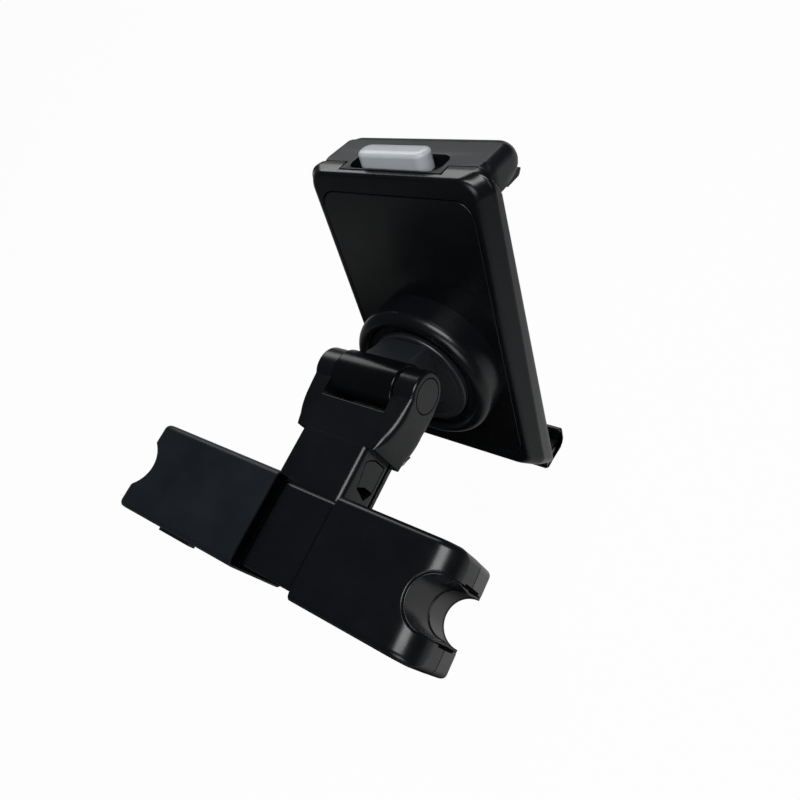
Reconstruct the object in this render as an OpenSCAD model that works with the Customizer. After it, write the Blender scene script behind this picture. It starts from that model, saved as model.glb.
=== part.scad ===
// Headrest tablet mount: sliding post clamp, forked arm with hinge, swivel and sprung holder
// X runs across the two headrest posts, Y from the clamp towards the tablet, Z up along the posts.

/* [Clamp] */
// Height of both clamp jaws along the posts
jaw_height = 39; // [32:0.5:60]
// Width of the sliding jaw, front to back
jaw_width = 44.4; // [38:0.2:60]
// Extra width of the fixed jaw over the sliding jaw
jaw_extra = 0.8; // [0:0.1:3]
// Drop of the fixed jaw's top below the sliding jaw's top
fixed_drop = 3.4; // [1:0.1:6]
// Drop of the tongue's top below the sliding jaw's top
tongue_drop = 6; // [5:0.1:9]
// Wall of the jaw shells
jaw_wall = 2.2; // [1.6:0.1:3.5]
// Radius of the post notch, measured on the liner
notch_radius = 9.2; // [6:0.1:12]
// Distance from the arm's middle to the fixed notch's axis
fixed_notch_x = 77.3; // [65:0.1:110]
// Distance from the arm's middle to the sliding notch's axis
sliding_notch_x = 95; // [80:0.5:130]
// Distance from the arm's middle to the sliding jaw's mouth
mouth_x = 11.5; // [10:0.5:16]
// Start of the fixed jaw's raised top
ramp_x = 20.5; // [20:0.5:30]
// Radius of the round nose over each jaw end
nose_radius = 11.5; // [5:0.5:15]
// Distance from a notch axis to the jaw's end face
tip_length = 2.7; // [1:0.1:6]
// Rounding of the jaws' long edges
edge_radius = 3; // [1:0.1:5]
// Thickness of the notch liners
liner_wall = 2; // [1:0.1:3]
// Depth of the seam between shell halves below the sliding jaw's top
seam_depth = 24; // [18:0.5:30]
// Travel of the sliding jaw
jaw_travel = 40; // [10:1:48]

/* [Arm] */
// Half width of the arm's root
root_half = 18.8; // [16:0.1:20]
// Depth of the arm's top face below the sliding jaw's top
arm_drop = 7.3; // [6:0.1:12]
// Thickness of the arm
arm_thick = 24.4; // [20:0.2:32]
// Distance from the clamp's middle to where the arm widens
shoulder_y = 45.5; // [40:0.5:60]
// Half width over the hinge ears
ear_half = 28.6; // [24:0.2:36]
// Width of the bevel round the arm's top
arm_bevel = 3; // [1:0.1:4]
// Distance from the clamp's middle to the hinge axis
hinge_y = 78; // [70:0.5:110]
// Depth of the hinge axis below the sliding jaw's top
hinge_drop = 16.3; // [14:0.1:22]
// Radius of the hinge ears
ear_radius = 11.1; // [9:0.1:16]
// Radius of the hinge barrel
barrel_radius = 12.1; // [9:0.1:16]
// Half length of the hinge barrel
barrel_half = 17.4; // [12:0.1:22]
// Radius of the round hinge caps
cap_radius = 8.1; // [6:0.1:9]
// Radius of the hinge pin
pin_radius = 4; // [2.5:0.1:5]
// Wall of the arm's cover
arm_wall = 2.4; // [1.6:0.1:4]

/* [Side button] */
// Length of the side button along the arm
side_button_length = 16; // [10:0.5:18]
// Height of the side button
side_button_height = 13; // [8:0.5:16]
// Travel of the side button and of the pawl it draws
side_button_travel = 2; // [1:0.1:2.5]

/* [Swivel] */
// Downward tilt of the holder's axis, in degrees
tilt = 18.9; // [0:0.1:40]
// Distance from the hinge axis to the swivel disc's face
disc_reach = 26; // [20:0.1:40]
// Drop of the swivel axis below the hinge axis
disc_drop = 20.7; // [0:0.1:25]
// Radius of the swivel disc
disc_radius = 27; // [20:0.1:32]
// Radius of the dome's rim
dome_radius = 38.5; // [34:0.1:45]
// Rounding of the dome's rim
dome_round = 5; // [2:0.1:8]
// Radius of the swivel spindle
spindle_radius = 11; // [8:0.1:14]

/* [Holder] */
// Distance from the hinge axis to the holder's back face
back_reach = 42.8; // [40:0.1:60]
// Half width of the holder's back face
back_half = 43.6; // [40:0.1:70]
// Half width of the holder
holder_half = 48.9; // [45:0.1:75]
// Height of the holder above the hinge axis
holder_up = 79.6; // [70:0.1:120]
// Depth of the holder's back face below the hinge axis
back_down = 86.3; // [80:0.1:130]
// Depth of the holder's front edge below the hinge axis
front_down = 103; // [95:0.1:150]
// Depth of the side bevel
side_bevel = 6.5; // [3:0.1:10]
// Thickness of the holder's body
body_thick = 17; // [15:0.1:25]
// Rounding of the holder's corners
corner_radius = 9; // [4:0.5:14]
// Wall of the holder's shell
shell_wall = 2.4; // [1.6:0.1:4]
// Room for the tablet's thickness
tablet_room = 10; // [7:0.1:16]
// Half width of the gripping hooks
hook_half = 44; // [30:0.5:60]
// Travel of the upper hook
hook_travel = 48; // [10:1:60]

/* [Top button] */
// Half length of the top button
top_button_half = 18; // [12:0.5:20]
// Width of the top button
top_button_width = 10; // [8:0.5:16]
// Height of the top button above the holder's top
top_button_proud = 6.2; // [2.5:0.1:8]
// Travel of the top button and of the pawl it draws
top_button_travel = 2; // [1:0.1:2]

/* [Fits] */
// Radial running clearance of pins and spindles
running_fit = 0.05; // [0.02:0.01:0.1]
// Clearance between sliding plastic pieces
slide_gap = 0.3; // [0.2:0.05:0.6]
// Gap shown at seams between shells
seam_gap = 0.3; // [0.1:0.05:0.6]

/* [Hidden] */
$fn = 96;
tiny = 0.01;
coil_pitch = 1.9;
groove_deep = 0.5;

// Clamp levels and ends
half_w = jaw_width / 2;
fixed_half = half_w + jaw_extra / 2;
fixed_bottom = fixed_drop + jaw_height;
sleeve_inner = half_w - jaw_wall;
tongue_half = sleeve_inner - slide_gap;
tongue_bottom = jaw_height - jaw_wall - slide_gap;
roof_wall = 3;
fixed_end = fixed_notch_x + tip_length;
sliding_end = sliding_notch_x + tip_length;
notch_cut = notch_radius + liner_wall;
end_wall = jaw_wall + 0.3;
sliding_inner_x = sliding_notch_x - notch_cut - end_wall;
fixed_inner_x = fixed_notch_x - notch_cut - end_wall;
tongue_end_x = sliding_inner_x - 6;
lug_end = sliding_end - 0.7;
lug_long = 25;
lug_out = 3.4;
lug_wide = 9;
lug_down = 1;
lug_high = 5;
lug_step = 0.5;
lug_face = 0.4;
end_draft = 2;
corner_plan = 4;
liner_rest = 1.2;

// Rack and pawl inside the clamp
rack_thick = 6;
rack_y = 4;
rack_z0 = 26;
rack_high = 5;
tooth_pitch = 4;
tooth_deep = 1.6;
rack_end_x = 52;
foot_thick = 2;
pawl_half = 3;
pawl_end_y = 40;
flange_x = 8;
wedge_c = 31;
wedge_gap = 0.42;
nose_x = 5.4;
nose_y = 31;
nose_back = 12.5;
rack_face = rack_y + rack_thick;
screw_radius = 1.5;
screw_head = 2.8;
head_high = 1.8;
tongue_cavity = tongue_half - jaw_wall;

rack_teeth = 12;
peg_x = -4;
peg_radius = 2;
spring_y = -9;
spring_wire = 0.6;
spring_radius = 3;
spring_turns = 24;
spring_room = sliding_inner_x - foot_thick + peg_x - peg_radius;
spring_tail = (spring_room - coil_high(spring_turns, spring_wire)) / 2;
small_spring_radius = 1.8;
small_spring_wire = 0.4;
small_spring_turns = 4;
post_x = 40;
post_y = 16;
post_radius = 3.4;
seat_deep = 4;
screw_long = 20;
bore_room = 0.5;
arm_screw_long = 8;
plate_screw_long = 7;
rib_y = 13;

// Arm
arm_top = -arm_drop;
arm_bottom = -arm_drop - arm_thick;
arm_mid_z = arm_top - arm_thick / 2;
root_y = half_w + 0.5;
neck_left = -mouth_x + 1;
neck_right = ramp_x - 3.6;
ear_inner = barrel_half + 0.6;
hinge_z = -hinge_drop;
slot_y = hinge_y - barrel_radius - 3.2;
under_y = 54;
under_d = norm([under_y - hinge_y, arm_bottom - hinge_z]);
tangent_a = atan2(arm_bottom - hinge_z, under_y - hinge_y) + acos(ear_radius / under_d);
tangent_y = hinge_y + ear_radius * cos(tangent_a);
tangent_z = hinge_z + ear_radius * sin(tangent_a);
plate_thick = 2;
shoulder_r = 36.6;
shoulder_cy = 66;
core_front = shoulder_y - slide_gap;
function lens_points(r) = concat(
    [for (i = [0 : 8]) let (y = shoulder_y + i * (shoulder_cy - shoulder_y) / 8)
        [sqrt(r * r - pow(y - shoulder_cy, 2)) - shoulder_r + ear_half, y]],
    [[r - shoulder_r + ear_half, hinge_y], [-(r - shoulder_r + ear_half), hinge_y]],
    [for (i = [8 : -1 : 0]) let (y = shoulder_y + i * (shoulder_cy - shoulder_y) / 8)
        [-(sqrt(r * r - pow(y - shoulder_cy, 2)) - shoulder_r + ear_half), y]]);
cap_deep = 3;
washer_thick = ear_inner - barrel_half - 0.1;
core_screw_x = 14.5;

// Side button
sb_mid_y = 35;
sb_mid_z = -20.5;
sb_depth = 6;
sb_inset = 0.5;
sb_gap = 0.3;

// Holder levels, measured from the hinge axis
disc_thick = 3;
neck_half = 13;
dish_floor = disc_reach + disc_thick + slide_gap;
dome_wall = 3;
dome_screw_r = 30;
swivel_u = -disc_drop;
front_reach = back_reach + body_thick;
mid_reach = back_reach + side_bevel;
panel_half = back_half - 3;
panel_up = holder_up - 10;
panel_down = back_down - 8;
panel_thick = 1.5;
shell_floor = back_reach + panel_thick + shell_wall;
dome_screw_long = 9;
front_thick = 2.2;
plate_half = holder_half - shell_wall - 2 * slide_gap;
plate_down = front_down - shell_wall - 5;
apron_thick = 1.4;
hook_floor = 3.2;
low_lip_thick = 3.2;
low_lip_up = 9.5;
lip_inner = front_reach + tablet_room;
lip_round = 8.3;
lip_mid = lip_inner + 3;
lip_outer = lip_mid + lip_round;
slide_low = holder_up - 13.8;
seam_reach = back_reach + 9.4;
tab_reach = back_reach + 3;
tab_low = holder_up - 7.6;
tab_half = 27;
pocket_half = 24;
pocket_floor = 5.4;
tab_rim = 2.2;
tb_mid = tab_reach + tab_rim + top_button_width / 2;
hs_x = 40;
hs_up = 50;
hs_down = 80;

// Catch inside the holder
rail_x = 30;
rail_w = 5;
rail_p = shell_floor + 4.3;
rail_thick = 4;
rail_low = -22;
runner_thick = rail_p + rail_thick - seam_reach - slide_gap;
crossbar_high = 9;
rod_half = 2.5;
rod_thick = 3;
rod_low = -6;
pawl_u = rail_low + crossbar_high + 0.2;
pawl_thick = 5.4;
hrack_x = -17;
hrack_w = 6;
hrack_thick = 2;
hrack_low = rail_low - 20;
hrack_long = 92;
hrack_teeth = 14;
spring_x = 21;
slide_wire = 0.6;
slide_turns = 20;
slide_spring_radius = 2.6;
slide_tail = 14;
slide_spring_low = rail_low - coil_high(slide_turns, slide_wire) - 2 * slide_tail;
spring_seat_high = 3;
button_spring_x = 12;
button_spring_radius = 2.5;
top_button_deep = pocket_floor - coil_high(small_spring_turns - 1,
    small_spring_wire) + top_button_proud;

// Moves the model so that the fixed notch's axis meets its mid height at the origin
module placed() {
    translate([-fixed_notch_x, 0, (fixed_drop + fixed_bottom) / 2])
        children();
}

// A rectangle with round corners, centred
module soft_rect(w, h, r) {
    square([w - 2 * r, h], center = true);
    square([w, h - 2 * r], center = true);
    for (x = [-1, 1])
        for (y = [-1, 1])
            translate([x * (w / 2 - r), y * (h / 2 - r)])
                circle(r = r);
}

// Height of a closely wound spring without its tails
function coil_high(turns, wire) = (turns - 1) * wire * coil_pitch + 2 * wire;

// A closely wound spring standing on Z, its wire sections touching, with a straight tail at each end
module coil(turns, r, wire, tail) {
    translate([0, 0, tail])
        rotate_extrude($fn = 32)
            for (i = [0 : turns - 1])
                translate([r, wire + i * wire * coil_pitch])
                    circle(r = wire, $fn = 16);
    if (tail > 0) {
        cylinder(r = wire, h = tail + wire, $fn = 16);
        translate([0, -wire / 2, tail])
            cube([r, wire, wire]);
        translate([0, 0, tail + coil_high(turns, wire) - wire])
            cylinder(r = wire, h = tail + wire, $fn = 16);
        translate([0, -wire / 2, tail + coil_high(turns, wire) - wire])
            cube([r, wire, wire]);
    }
}

// A screw standing on Z with its head's seat at zero
module screw(length) {
    difference() {
        union() {
            translate([0, 0, -length])
                cylinder(r = screw_radius, h = length, $fn = 32);
            cylinder(r = screw_head, h = head_high, $fn = 32);
        }
        for (a = [0, 90])
            rotate([0, 0, a])
                translate([-1.8, -0.3, head_high - 1])
                    cube([3.6, 0.6, 2]);
    }
}

// Bore that a screw of a length bites in, from its head's seat
module screw_bore(length) {
    translate([0, 0, -length - bore_room])
        cylinder(r = screw_radius + running_fit, h = length + 2 * bore_room, $fn = 32);
}

// Side view of a jaw in X and Z, its nose pointing along +X
module jaw_side(x0, x1, top, bottom) {
    difference() {
        union() {
            translate([x0, -bottom])
                square([x1 - nose_radius - x0, bottom - top]);
            translate([x0, -bottom])
                polygon([[0, 0], [x1 - x0 - end_draft, 0], [x1 - x0, bottom - seam_depth],
                    [x1 - x0, bottom - top - nose_radius], [0, bottom - top - nose_radius]]);
            translate([x1 - nose_radius, -top - nose_radius])
                circle(r = nose_radius);
        }
    }
}

// Plan of a jaw in X and Y with round outer corners and the post notch cut out
module jaw_plan(x0, x1, half, notch_x, cut) {
    difference() {
        union() {
            translate([x0, -half])
                square([x1 - corner_plan - x0, 2 * half]);
            translate([x0, -half + corner_plan])
                square([x1 - x0, 2 * (half - corner_plan)]);
            for (y = [-1, 1])
                translate([x1 - corner_plan, y * (half - corner_plan)])
                    circle(r = corner_plan);
        }
        translate([notch_x, 0])
            circle(r = cut);
        translate([notch_x, -cut])
            square([40, 2 * cut]);
    }
}

// Section of a jaw in Y and Z, laid along X
module jaw_bar(x0, x1, half, top, bottom, r) {
    translate([x0, 0, -(top + bottom) / 2])
        rotate([90, 0, 90])
            linear_extrude(x1 - x0)
                soft_rect(2 * half, bottom - top, r);
}

// Solid form of a jaw pointing along +X
module jaw_form(x0, x1, half, top, bottom, notch_x) {
    intersection() {
        jaw_bar(x0, x1, half, top, bottom, edge_radius);
        rotate([90, 0, 0])
            translate([0, 0, -half])
                linear_extrude(2 * half)
                    jaw_side(x0, x1, top, bottom);
        translate([0, 0, -bottom])
            linear_extrude(bottom - top)
                jaw_plan(x0, x1, half, notch_x, notch_cut);
    }
}

// The U-shaped liner of a post notch that opens along +X
module liner_form(notch_x, top, bottom) {
    translate([0, 0, -bottom + liner_rest])
        linear_extrude(bottom - top - 2 * liner_rest)
            difference() {
                union() {
                    intersection() {
                        translate([notch_x, 0])
                            circle(r = notch_cut);
                        translate([notch_x - 2 * notch_cut, -notch_cut])
                            square(2 * notch_cut);
                    }
                    translate([notch_x - tiny, -notch_cut])
                        square([tip_length - 0.6, 2 * notch_cut]);
                }
                translate([notch_x, 0])
                    circle(r = notch_radius);
                translate([notch_x, -notch_radius])
                    square([20, 2 * notch_radius]);
            }
}

// Cutters that leave the part of a jaw below or above its seam
module cut_top() {
    translate([-150, -60, -seam_depth])
        cube([300, 120, 60]);
}

module cut_bottom() {
    translate([-150, -60, -seam_depth - 60])
        cube([300, 120, 60]);
}

// Fine groove round a jaw that points along +X, just below its seam
module seam_groove(x0, x1, half, notch_x) {
    translate([0, 0, -seam_depth - seam_gap])
        linear_extrude(seam_gap + tiny)
            difference() {
                jaw_plan(x0, x1 + 1, half + 1, notch_x, notch_cut);
                jaw_plan(x0, x1 - groove_deep, half - groove_deep, notch_x, notch_cut);
            }
}

// Fixed jaw and tongue as one solid before it is split
module fixed_solid() {
    jaw_form(ramp_x, fixed_end, fixed_half, fixed_drop, fixed_bottom, fixed_notch_x);
    jaw_bar(-tongue_end_x, ramp_x + 4, tongue_half, tongue_drop, tongue_bottom, 2);
    rotate([90, 0, 0])
        translate([0, 0, -tongue_half + 2])
            linear_extrude(2 * tongue_half - 4)
                polygon([[ramp_x - 3, -tongue_drop], [ramp_x + 1, -fixed_drop - 0.05],
                    [ramp_x + 1, -tongue_drop - 1], [ramp_x - 3, -tongue_drop - 1]]);
}

// Room inside the fixed jaw and tongue
module fixed_room() {
    translate([-tongue_end_x - 1, -tongue_cavity, -tongue_bottom + jaw_wall])
        cube([tongue_end_x + 1 + fixed_inner_x, 2 * tongue_cavity,
            tongue_bottom - tongue_drop - 2 * jaw_wall]);
    translate([ramp_x + jaw_wall, -fixed_half + jaw_wall, -fixed_bottom + jaw_wall])
        cube([fixed_inner_x - ramp_x - jaw_wall, 2 * (fixed_half - jaw_wall),
            jaw_height - 2 * jaw_wall]);
    // window for the pawl in the tongue's side
    translate([-pawl_half - slide_gap, tongue_half - 4, -rack_z0 - slide_gap])
        cube([2 * (pawl_half + slide_gap), 8, rack_high + 2 * slide_gap]);
}

// Places of the screws that carry the arm, seats on the tongue's inner wall
module arm_screw_places() {
    for (x = [-6.5, 10.5])
        for (z = [-7.5, 7.5])
            translate([x, tongue_cavity, arm_mid_z + z])
                rotate([90, 0, 0])
                    children();
}

// Places of the screws that close the jaws, seats in their undersides
module fixed_screw_places() {
    for (y = [-post_y, post_y])
        translate([post_x, y, -fixed_bottom + seat_deep])
            rotate([180, 0, 0])
                children();
}

module sliding_screw_places() {
    for (y = [-post_y, post_y])
        translate([-sliding_inner_x - 4, y, -jaw_height + seat_deep])
            rotate([180, 0, 0])
                children();
}

// Shank hole and head seat of a closing screw
module screw_seat() {
    translate([0, 0, -30])
        cylinder(r = screw_radius + slide_gap, h = 31, $fn = 32);
    cylinder(r = screw_head + slide_gap, h = 20, $fn = 32);
}

module fixed_jaw_top() {
    color("#1c1c1e")
        placed()
            difference() {
                union() {
                    difference() {
                        fixed_solid();
                        fixed_room();
                    }
                    for (y = [-post_y, post_y])
                        translate([post_x, y, -seam_depth])
                            cylinder(r = post_radius, h = seam_depth - fixed_drop - jaw_wall + tiny);
                }
                cut_bottom();
                arm_screw_places()
                    translate([0, 0, -30])
                        cylinder(r = screw_radius + slide_gap, h = 31, $fn = 32);
                fixed_screw_places()
                    translate([0, 0, -screw_long - 1])
                        cylinder(r = screw_radius + running_fit, h = screw_long + 1, $fn = 32);
            }
}

module fixed_jaw_base() {
    color("#1c1c1e") placed() {
        translate([peg_x, spring_y, -tongue_bottom + 1])
            cylinder(r = peg_radius, h = tongue_bottom + arm_mid_z + 2);
        difference() {
            union() {
                difference() {
                    fixed_solid();
                    fixed_room();
                }
                for (y = [-post_y, post_y])
                    translate([post_x, y, -fixed_bottom + 1])
                        cylinder(r = post_radius + 1.2, h = fixed_bottom - seam_depth - 1);
            }
            cut_top();
            seam_groove(ramp_x, fixed_end, fixed_half, fixed_notch_x);
            arm_screw_places()
                translate([0, 0, -30])
                    cylinder(r = screw_radius + slide_gap, h = 31, $fn = 32);
            fixed_screw_places()
                screw_seat();
        }
    }
}

module fixed_liner() {
    color("#141416")
        placed()
            liner_form(fixed_notch_x, fixed_drop, fixed_bottom);
}

// Sliding jaw as one solid before it is split
module sliding_solid() {
    mirror([1, 0, 0])
        jaw_form(mouth_x, sliding_end, half_w, 0, jaw_height, sliding_notch_x);
}

module sliding_room() {
    translate([-sliding_inner_x, -sleeve_inner, -jaw_height + jaw_wall])
        cube([sliding_inner_x - mouth_x + 1, 2 * sleeve_inner, jaw_height - jaw_wall - roof_wall]);
}

module sliding_jaw_top() {
    color("#1c1c1e")
        placed()
            union() {
                difference() {
                    sliding_solid();
                    sliding_room();
                    cut_bottom();
                    sliding_screw_places()
                        translate([0, 0, -screw_long - 1])
                            cylinder(r = screw_radius + running_fit, h = screw_long + 1, $fn = 32);
                }
                // guide ribs under the roof
                for (y = [-rib_y, rib_y])
                    translate([-sliding_inner_x - 1, y - 1, -tongue_drop + slide_gap])
                        cube([sliding_inner_x - mouth_x - 13, 2,
                            tongue_drop - slide_gap - roof_wall + 1]);
            }
}

module sliding_jaw_base() {
    color("#1c1c1e")
        placed()
            difference() {
                sliding_solid();
                difference() {
                    sliding_room();
                    translate([-sliding_inner_x - 1, -12, -jaw_height])
                        cube([4, 30, 9]);
                }
                cut_top();
                mirror([1, 0, 0])
                    seam_groove(mouth_x - 1, sliding_end, half_w, sliding_notch_x);
                sliding_screw_places()
                    screw_seat();
            }
}

module sliding_liner() {
    color("#141416")
        placed()
            mirror([1, 0, 0])
                liner_form(sliding_notch_x, 0, jaw_height);
}

module fixed_jaw_screws() {
    color("#8a8d91")
        placed()
            fixed_screw_places()
                screw(screw_long);
}

module sliding_jaw_screws() {
    color("#8a8d91")
        placed()
            sliding_screw_places()
                screw(screw_long);
}

// Grip lug under the sliding jaw's front corner
module grip_lug() {
    color("#161618")
        placed()
            difference() {
                translate([-lug_end, -half_w - lug_out, -jaw_height - lug_down])
                    cube([lug_long, lug_wide, lug_high]);
                translate([-lug_end - tiny, -half_w - lug_out - tiny, -jaw_height - lug_down - tiny])
                    cube([lug_step + tiny, lug_out - lug_face + tiny, lug_high + 2 * tiny]);
                sliding_solid();
                sliding_screw_places()
                    cylinder(r = screw_head + slide_gap, h = 20, $fn = 32);
            }
}

// Toothed bar fixed to the sliding jaw and running through the tongue
module jaw_rack() {
    color("#2a2b2d")
        placed()
            difference() {
                union() {
                    translate([-sliding_inner_x, rack_y, -rack_z0])
                        cube([sliding_inner_x + rack_end_x, rack_thick, rack_high]);
                    translate([-sliding_inner_x, spring_y - 4, -rack_z0 - 3])
                        cube([foot_thick, rack_face - spring_y + 10, rack_high + 6]);
                }
                for (i = [0 : rack_teeth - 1])
                    translate([rack_end_x - 4 - i * tooth_pitch, rack_face, -rack_z0 - 1])
                        linear_extrude(rack_high + 2)
                            polygon([[-1.6, 1], [-1.6, 0], [0, -tooth_deep], [1.6, 0], [1.6, 1]]);
            }
}

// Sliding catch that meets the rack, drawn back by the side button
module jaw_pawl() {
    color("#55585c")
        placed()
            translate([0, 0, -rack_z0])
                linear_extrude(rack_high)
                    union() {
                        polygon([[-pawl_half, rack_face + 2], [0, rack_face + 0.2],
                            [pawl_half, rack_face + 2], [pawl_half, pawl_end_y],
                                [-pawl_half, pawl_end_y]]);
                        polygon([[pawl_half - 1, pawl_half - 1 + wedge_c],
                            [flange_x, flange_x + wedge_c], [flange_x, pawl_end_y],
                                [pawl_half - 1, pawl_end_y]]);
                    }
}

module pawl_spring() {
    color("#9a9da1")
        placed()
            translate([0, pawl_end_y, -rack_z0 + rack_high / 2])
                rotate([-90, 0, 0])
                    coil(small_spring_turns, small_spring_radius, small_spring_wire, 0);
}

// Long spring that draws the clamp closed
module jaw_spring() {
    color("#9a9da1")
        placed()
            translate([-sliding_inner_x + foot_thick, spring_y, arm_mid_z])
                rotate([0, 90, 0])
                    coil(spring_turns, spring_radius, spring_wire, spring_tail);
}

// Lens-shaped plan of the arm's wide part
module shoulder_plan(r) {
    intersection() {
        translate([-(shoulder_r - ear_half), shoulder_cy])
            circle(r = r);
        translate([shoulder_r - ear_half, shoulder_cy])
            circle(r = r);
        translate([-60, shoulder_y])
            square([120, shoulder_cy - shoulder_y]);
    }
    translate([-(r - shoulder_r + ear_half), shoulder_cy - tiny])
        square([2 * (r - shoulder_r + ear_half), 40]);
}

// Side view of the arm's wide part in Y and Z
module shoulder_side() {
    union() {
        translate([hinge_y, hinge_z])
            circle(r = ear_radius);
        polygon([[shoulder_y, arm_top], [hinge_y, arm_top], [hinge_y, hinge_z],
            [tangent_y, tangent_z], [under_y, arm_bottom], [shoulder_y, arm_bottom]]);
    }
}

// Bevelled top of the arm's wide part
module shoulder_bevel() {
    hull() {
        translate([0, 0, arm_bottom - 1])
            linear_extrude(arm_thick + 1 - arm_bevel)
                polygon(lens_points(shoulder_r));
        translate([0, 0, arm_top - tiny])
            linear_extrude(tiny)
                polygon(lens_points(shoulder_r - arm_bevel));
    }
    translate([-60, hinge_y - ear_radius + 3, arm_bottom - 1])
        cube([120, 60, 60]);
}

module ear_holes() {
    translate([-60, hinge_y, hinge_z])
        rotate([0, 90, 0])
            cylinder(r = pin_radius + running_fit, h = 120);
    for (s = [0, 1])
        mirror([s, 0, 0])
            translate([ear_half - cap_deep, hinge_y, hinge_z])
                rotate([0, 90, 0])
                    cylinder(r = cap_radius + slide_gap, h = 10);
}

// Upper cover of the arm with its two hinge ears
module arm_cover() {
    color("#17171a")
        placed()
            difference() {
                union() {
                    intersection() {
                        translate([0, 0, arm_bottom])
                            linear_extrude(60)
                                shoulder_plan(shoulder_r);
                        translate([-60, 0, 0])
                            rotate([90, 0, 90])
                                linear_extrude(120)
                                    shoulder_side();
                        shoulder_bevel();
                    }
                    // flat top over the root
                    hull() {
                        translate([-root_half, root_y, arm_top - arm_wall])
                            cube([2 * root_half, shoulder_y - root_y + 1, arm_wall - 1]);
                        translate([-root_half + 1, root_y, arm_top - tiny])
                            cube([2 * root_half - 2, shoulder_y - root_y + 1, tiny]);
                    }
                    translate([neck_left, tongue_half, arm_top - arm_wall])
                        cube([neck_right - neck_left, root_y - tongue_half + 1, arm_wall - 1]);
                }
                // room inside the wide part
                intersection() {
                    translate([-ear_inner, shoulder_y + arm_wall, arm_bottom - 1])
                        cube([2 * ear_inner, slot_y - arm_wall - shoulder_y - arm_wall,
                            arm_thick + 1 - arm_wall]);
                    translate([0, 0, arm_bottom - 1])
                        linear_extrude(60)
                            shoulder_plan(shoulder_r - arm_wall);
                }
                // slot for the barrel
                translate([-ear_inner, slot_y, arm_bottom - 10])
                    cube([2 * ear_inner, 60, arm_thick + 30]);
                ear_holes();
                // step for the lower plate
                translate([-60, 0, arm_bottom - 1])
                    cube([120, under_y, plate_thick + 1]);
                cover_screw_places()
                    screw_bore(plate_screw_long);
            }
}

// Screws that hold the lower plate to the cover
module cover_screw_places() {
    for (x = [-20.5, 20.5])
        translate([x, shoulder_y + 5.5, arm_bottom + plate_thick - 0.9])
            rotate([180, 0, 0])
                children();
}

module arm_room() {
    // pocket of the side button
    translate([root_half - sb_inset - sb_depth - side_button_travel - 1.2,
        sb_mid_y - side_button_length / 2 - sb_gap, sb_mid_z - side_button_height / 2 - sb_gap])
        cube([20, side_button_length + 2 * sb_gap, side_button_height + 2 * sb_gap]);
    // guide of the pawl and of the button's nose
    translate([-pawl_half - slide_gap, 0, -rack_z0 - slide_gap])
        cube([2 * (pawl_half + slide_gap), pawl_end_y + side_button_travel + 1.6,
            rack_high + 2 * slide_gap]);
    translate([0, pawl_end_y, -rack_z0 + rack_high / 2])
        rotate([-90, 0, 0])
            cylinder(r = 2.6, h = 10, $fn = 32);
    translate([root_half - sb_inset - sb_depth - side_button_travel - 4, sb_mid_y - 5.5,
        sb_mid_z + 3.4])
        rotate([0, 90, 0])
            cylinder(r = 2.5, h = 6, $fn = 32);
    translate([0, nose_y - slide_gap, -rack_z0 - slide_gap])
        cube([root_half - sb_inset - sb_depth,
            pawl_end_y + side_button_travel + slide_gap - nose_y + slide_gap,
                rack_high + 2 * slide_gap]);
}

// Block at the arm's root, screwed to the tongue
module arm_core() {
    color("#1a1a1c")
        placed()
            difference() {
                union() {
                    translate([-root_half, root_y, arm_bottom + plate_thick])
                        cube([2 * root_half, core_front - root_y, arm_thick - plate_thick - arm_wall]);
                    translate([neck_left, tongue_half, arm_bottom + plate_thick])
                        cube([neck_right - neck_left, root_y - tongue_half + 1,
                            arm_thick - plate_thick - arm_wall]);
                }
                arm_room();
                arm_screw_places()
                    screw_bore(arm_screw_long);
                core_screw_places()
                    screw_bore(plate_screw_long);
            }
}

// Screws that hold the lower plate to the core
module core_screw_places() {
    for (y = [3.8, 17.3])
        translate([-core_screw_x, root_y + y, arm_bottom + plate_thick - 0.9])
            rotate([180, 0, 0])
                children();
}

module arm_plate() {
    color("#141416")
        placed()
            difference() {
                union() {
                    translate([-root_half, root_y, arm_bottom])
                        cube([2 * root_half, shoulder_y - root_y + tiny, plate_thick]);
                    intersection() {
                        translate([0, 0, arm_bottom])
                            linear_extrude(plate_thick)
                                shoulder_plan(shoulder_r - arm_bevel / 2);
                        translate([-60, shoulder_y - 1, arm_bottom - 1])
                            cube([120, under_y - shoulder_y + 1 - slide_gap, plate_thick + 2]);
                    }
                }
                cover_screw_places()
                    plate_seat();
                core_screw_places()
                    plate_seat();
            }
}

module plate_seat() {
    translate([0, 0, -2 * plate_thick])
        cylinder(r = screw_radius + slide_gap, h = 2 * plate_thick + tiny, $fn = 32);
    cylinder(r = screw_head + slide_gap, h = 2 * plate_thick, $fn = 32);
}

module arm_screws() {
    color("#8a8d91") placed() {
        arm_screw_places()
            screw(arm_screw_long);
        cover_screw_places()
            screw(plate_screw_long);
        core_screw_places()
            screw(plate_screw_long);
    }
}

module side_button() {
    color("#202124")
        placed()
            union() {
                translate([root_half - sb_inset - sb_depth, sb_mid_y - side_button_length / 2,
                    sb_mid_z - side_button_height / 2])
                    cube([sb_depth, side_button_length, side_button_height]);
                for (i = [-1, 0, 1])
                    translate([root_half - sb_inset - tiny, sb_mid_y + i * 4 - 0.6,
                        sb_mid_z - side_button_height / 2 + 2])
                        cube([0.4, 1.2, side_button_height - 4]);
                translate([0, 0, -rack_z0])
                    linear_extrude(rack_high)
                        polygon([[nose_x, nose_y], [nose_back, nose_y], [nose_back, pawl_end_y],
                            [pawl_end_y - wedge_c + wedge_gap, pawl_end_y],
                                [nose_x, nose_x + wedge_c - wedge_gap]]);
            }
}

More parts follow.
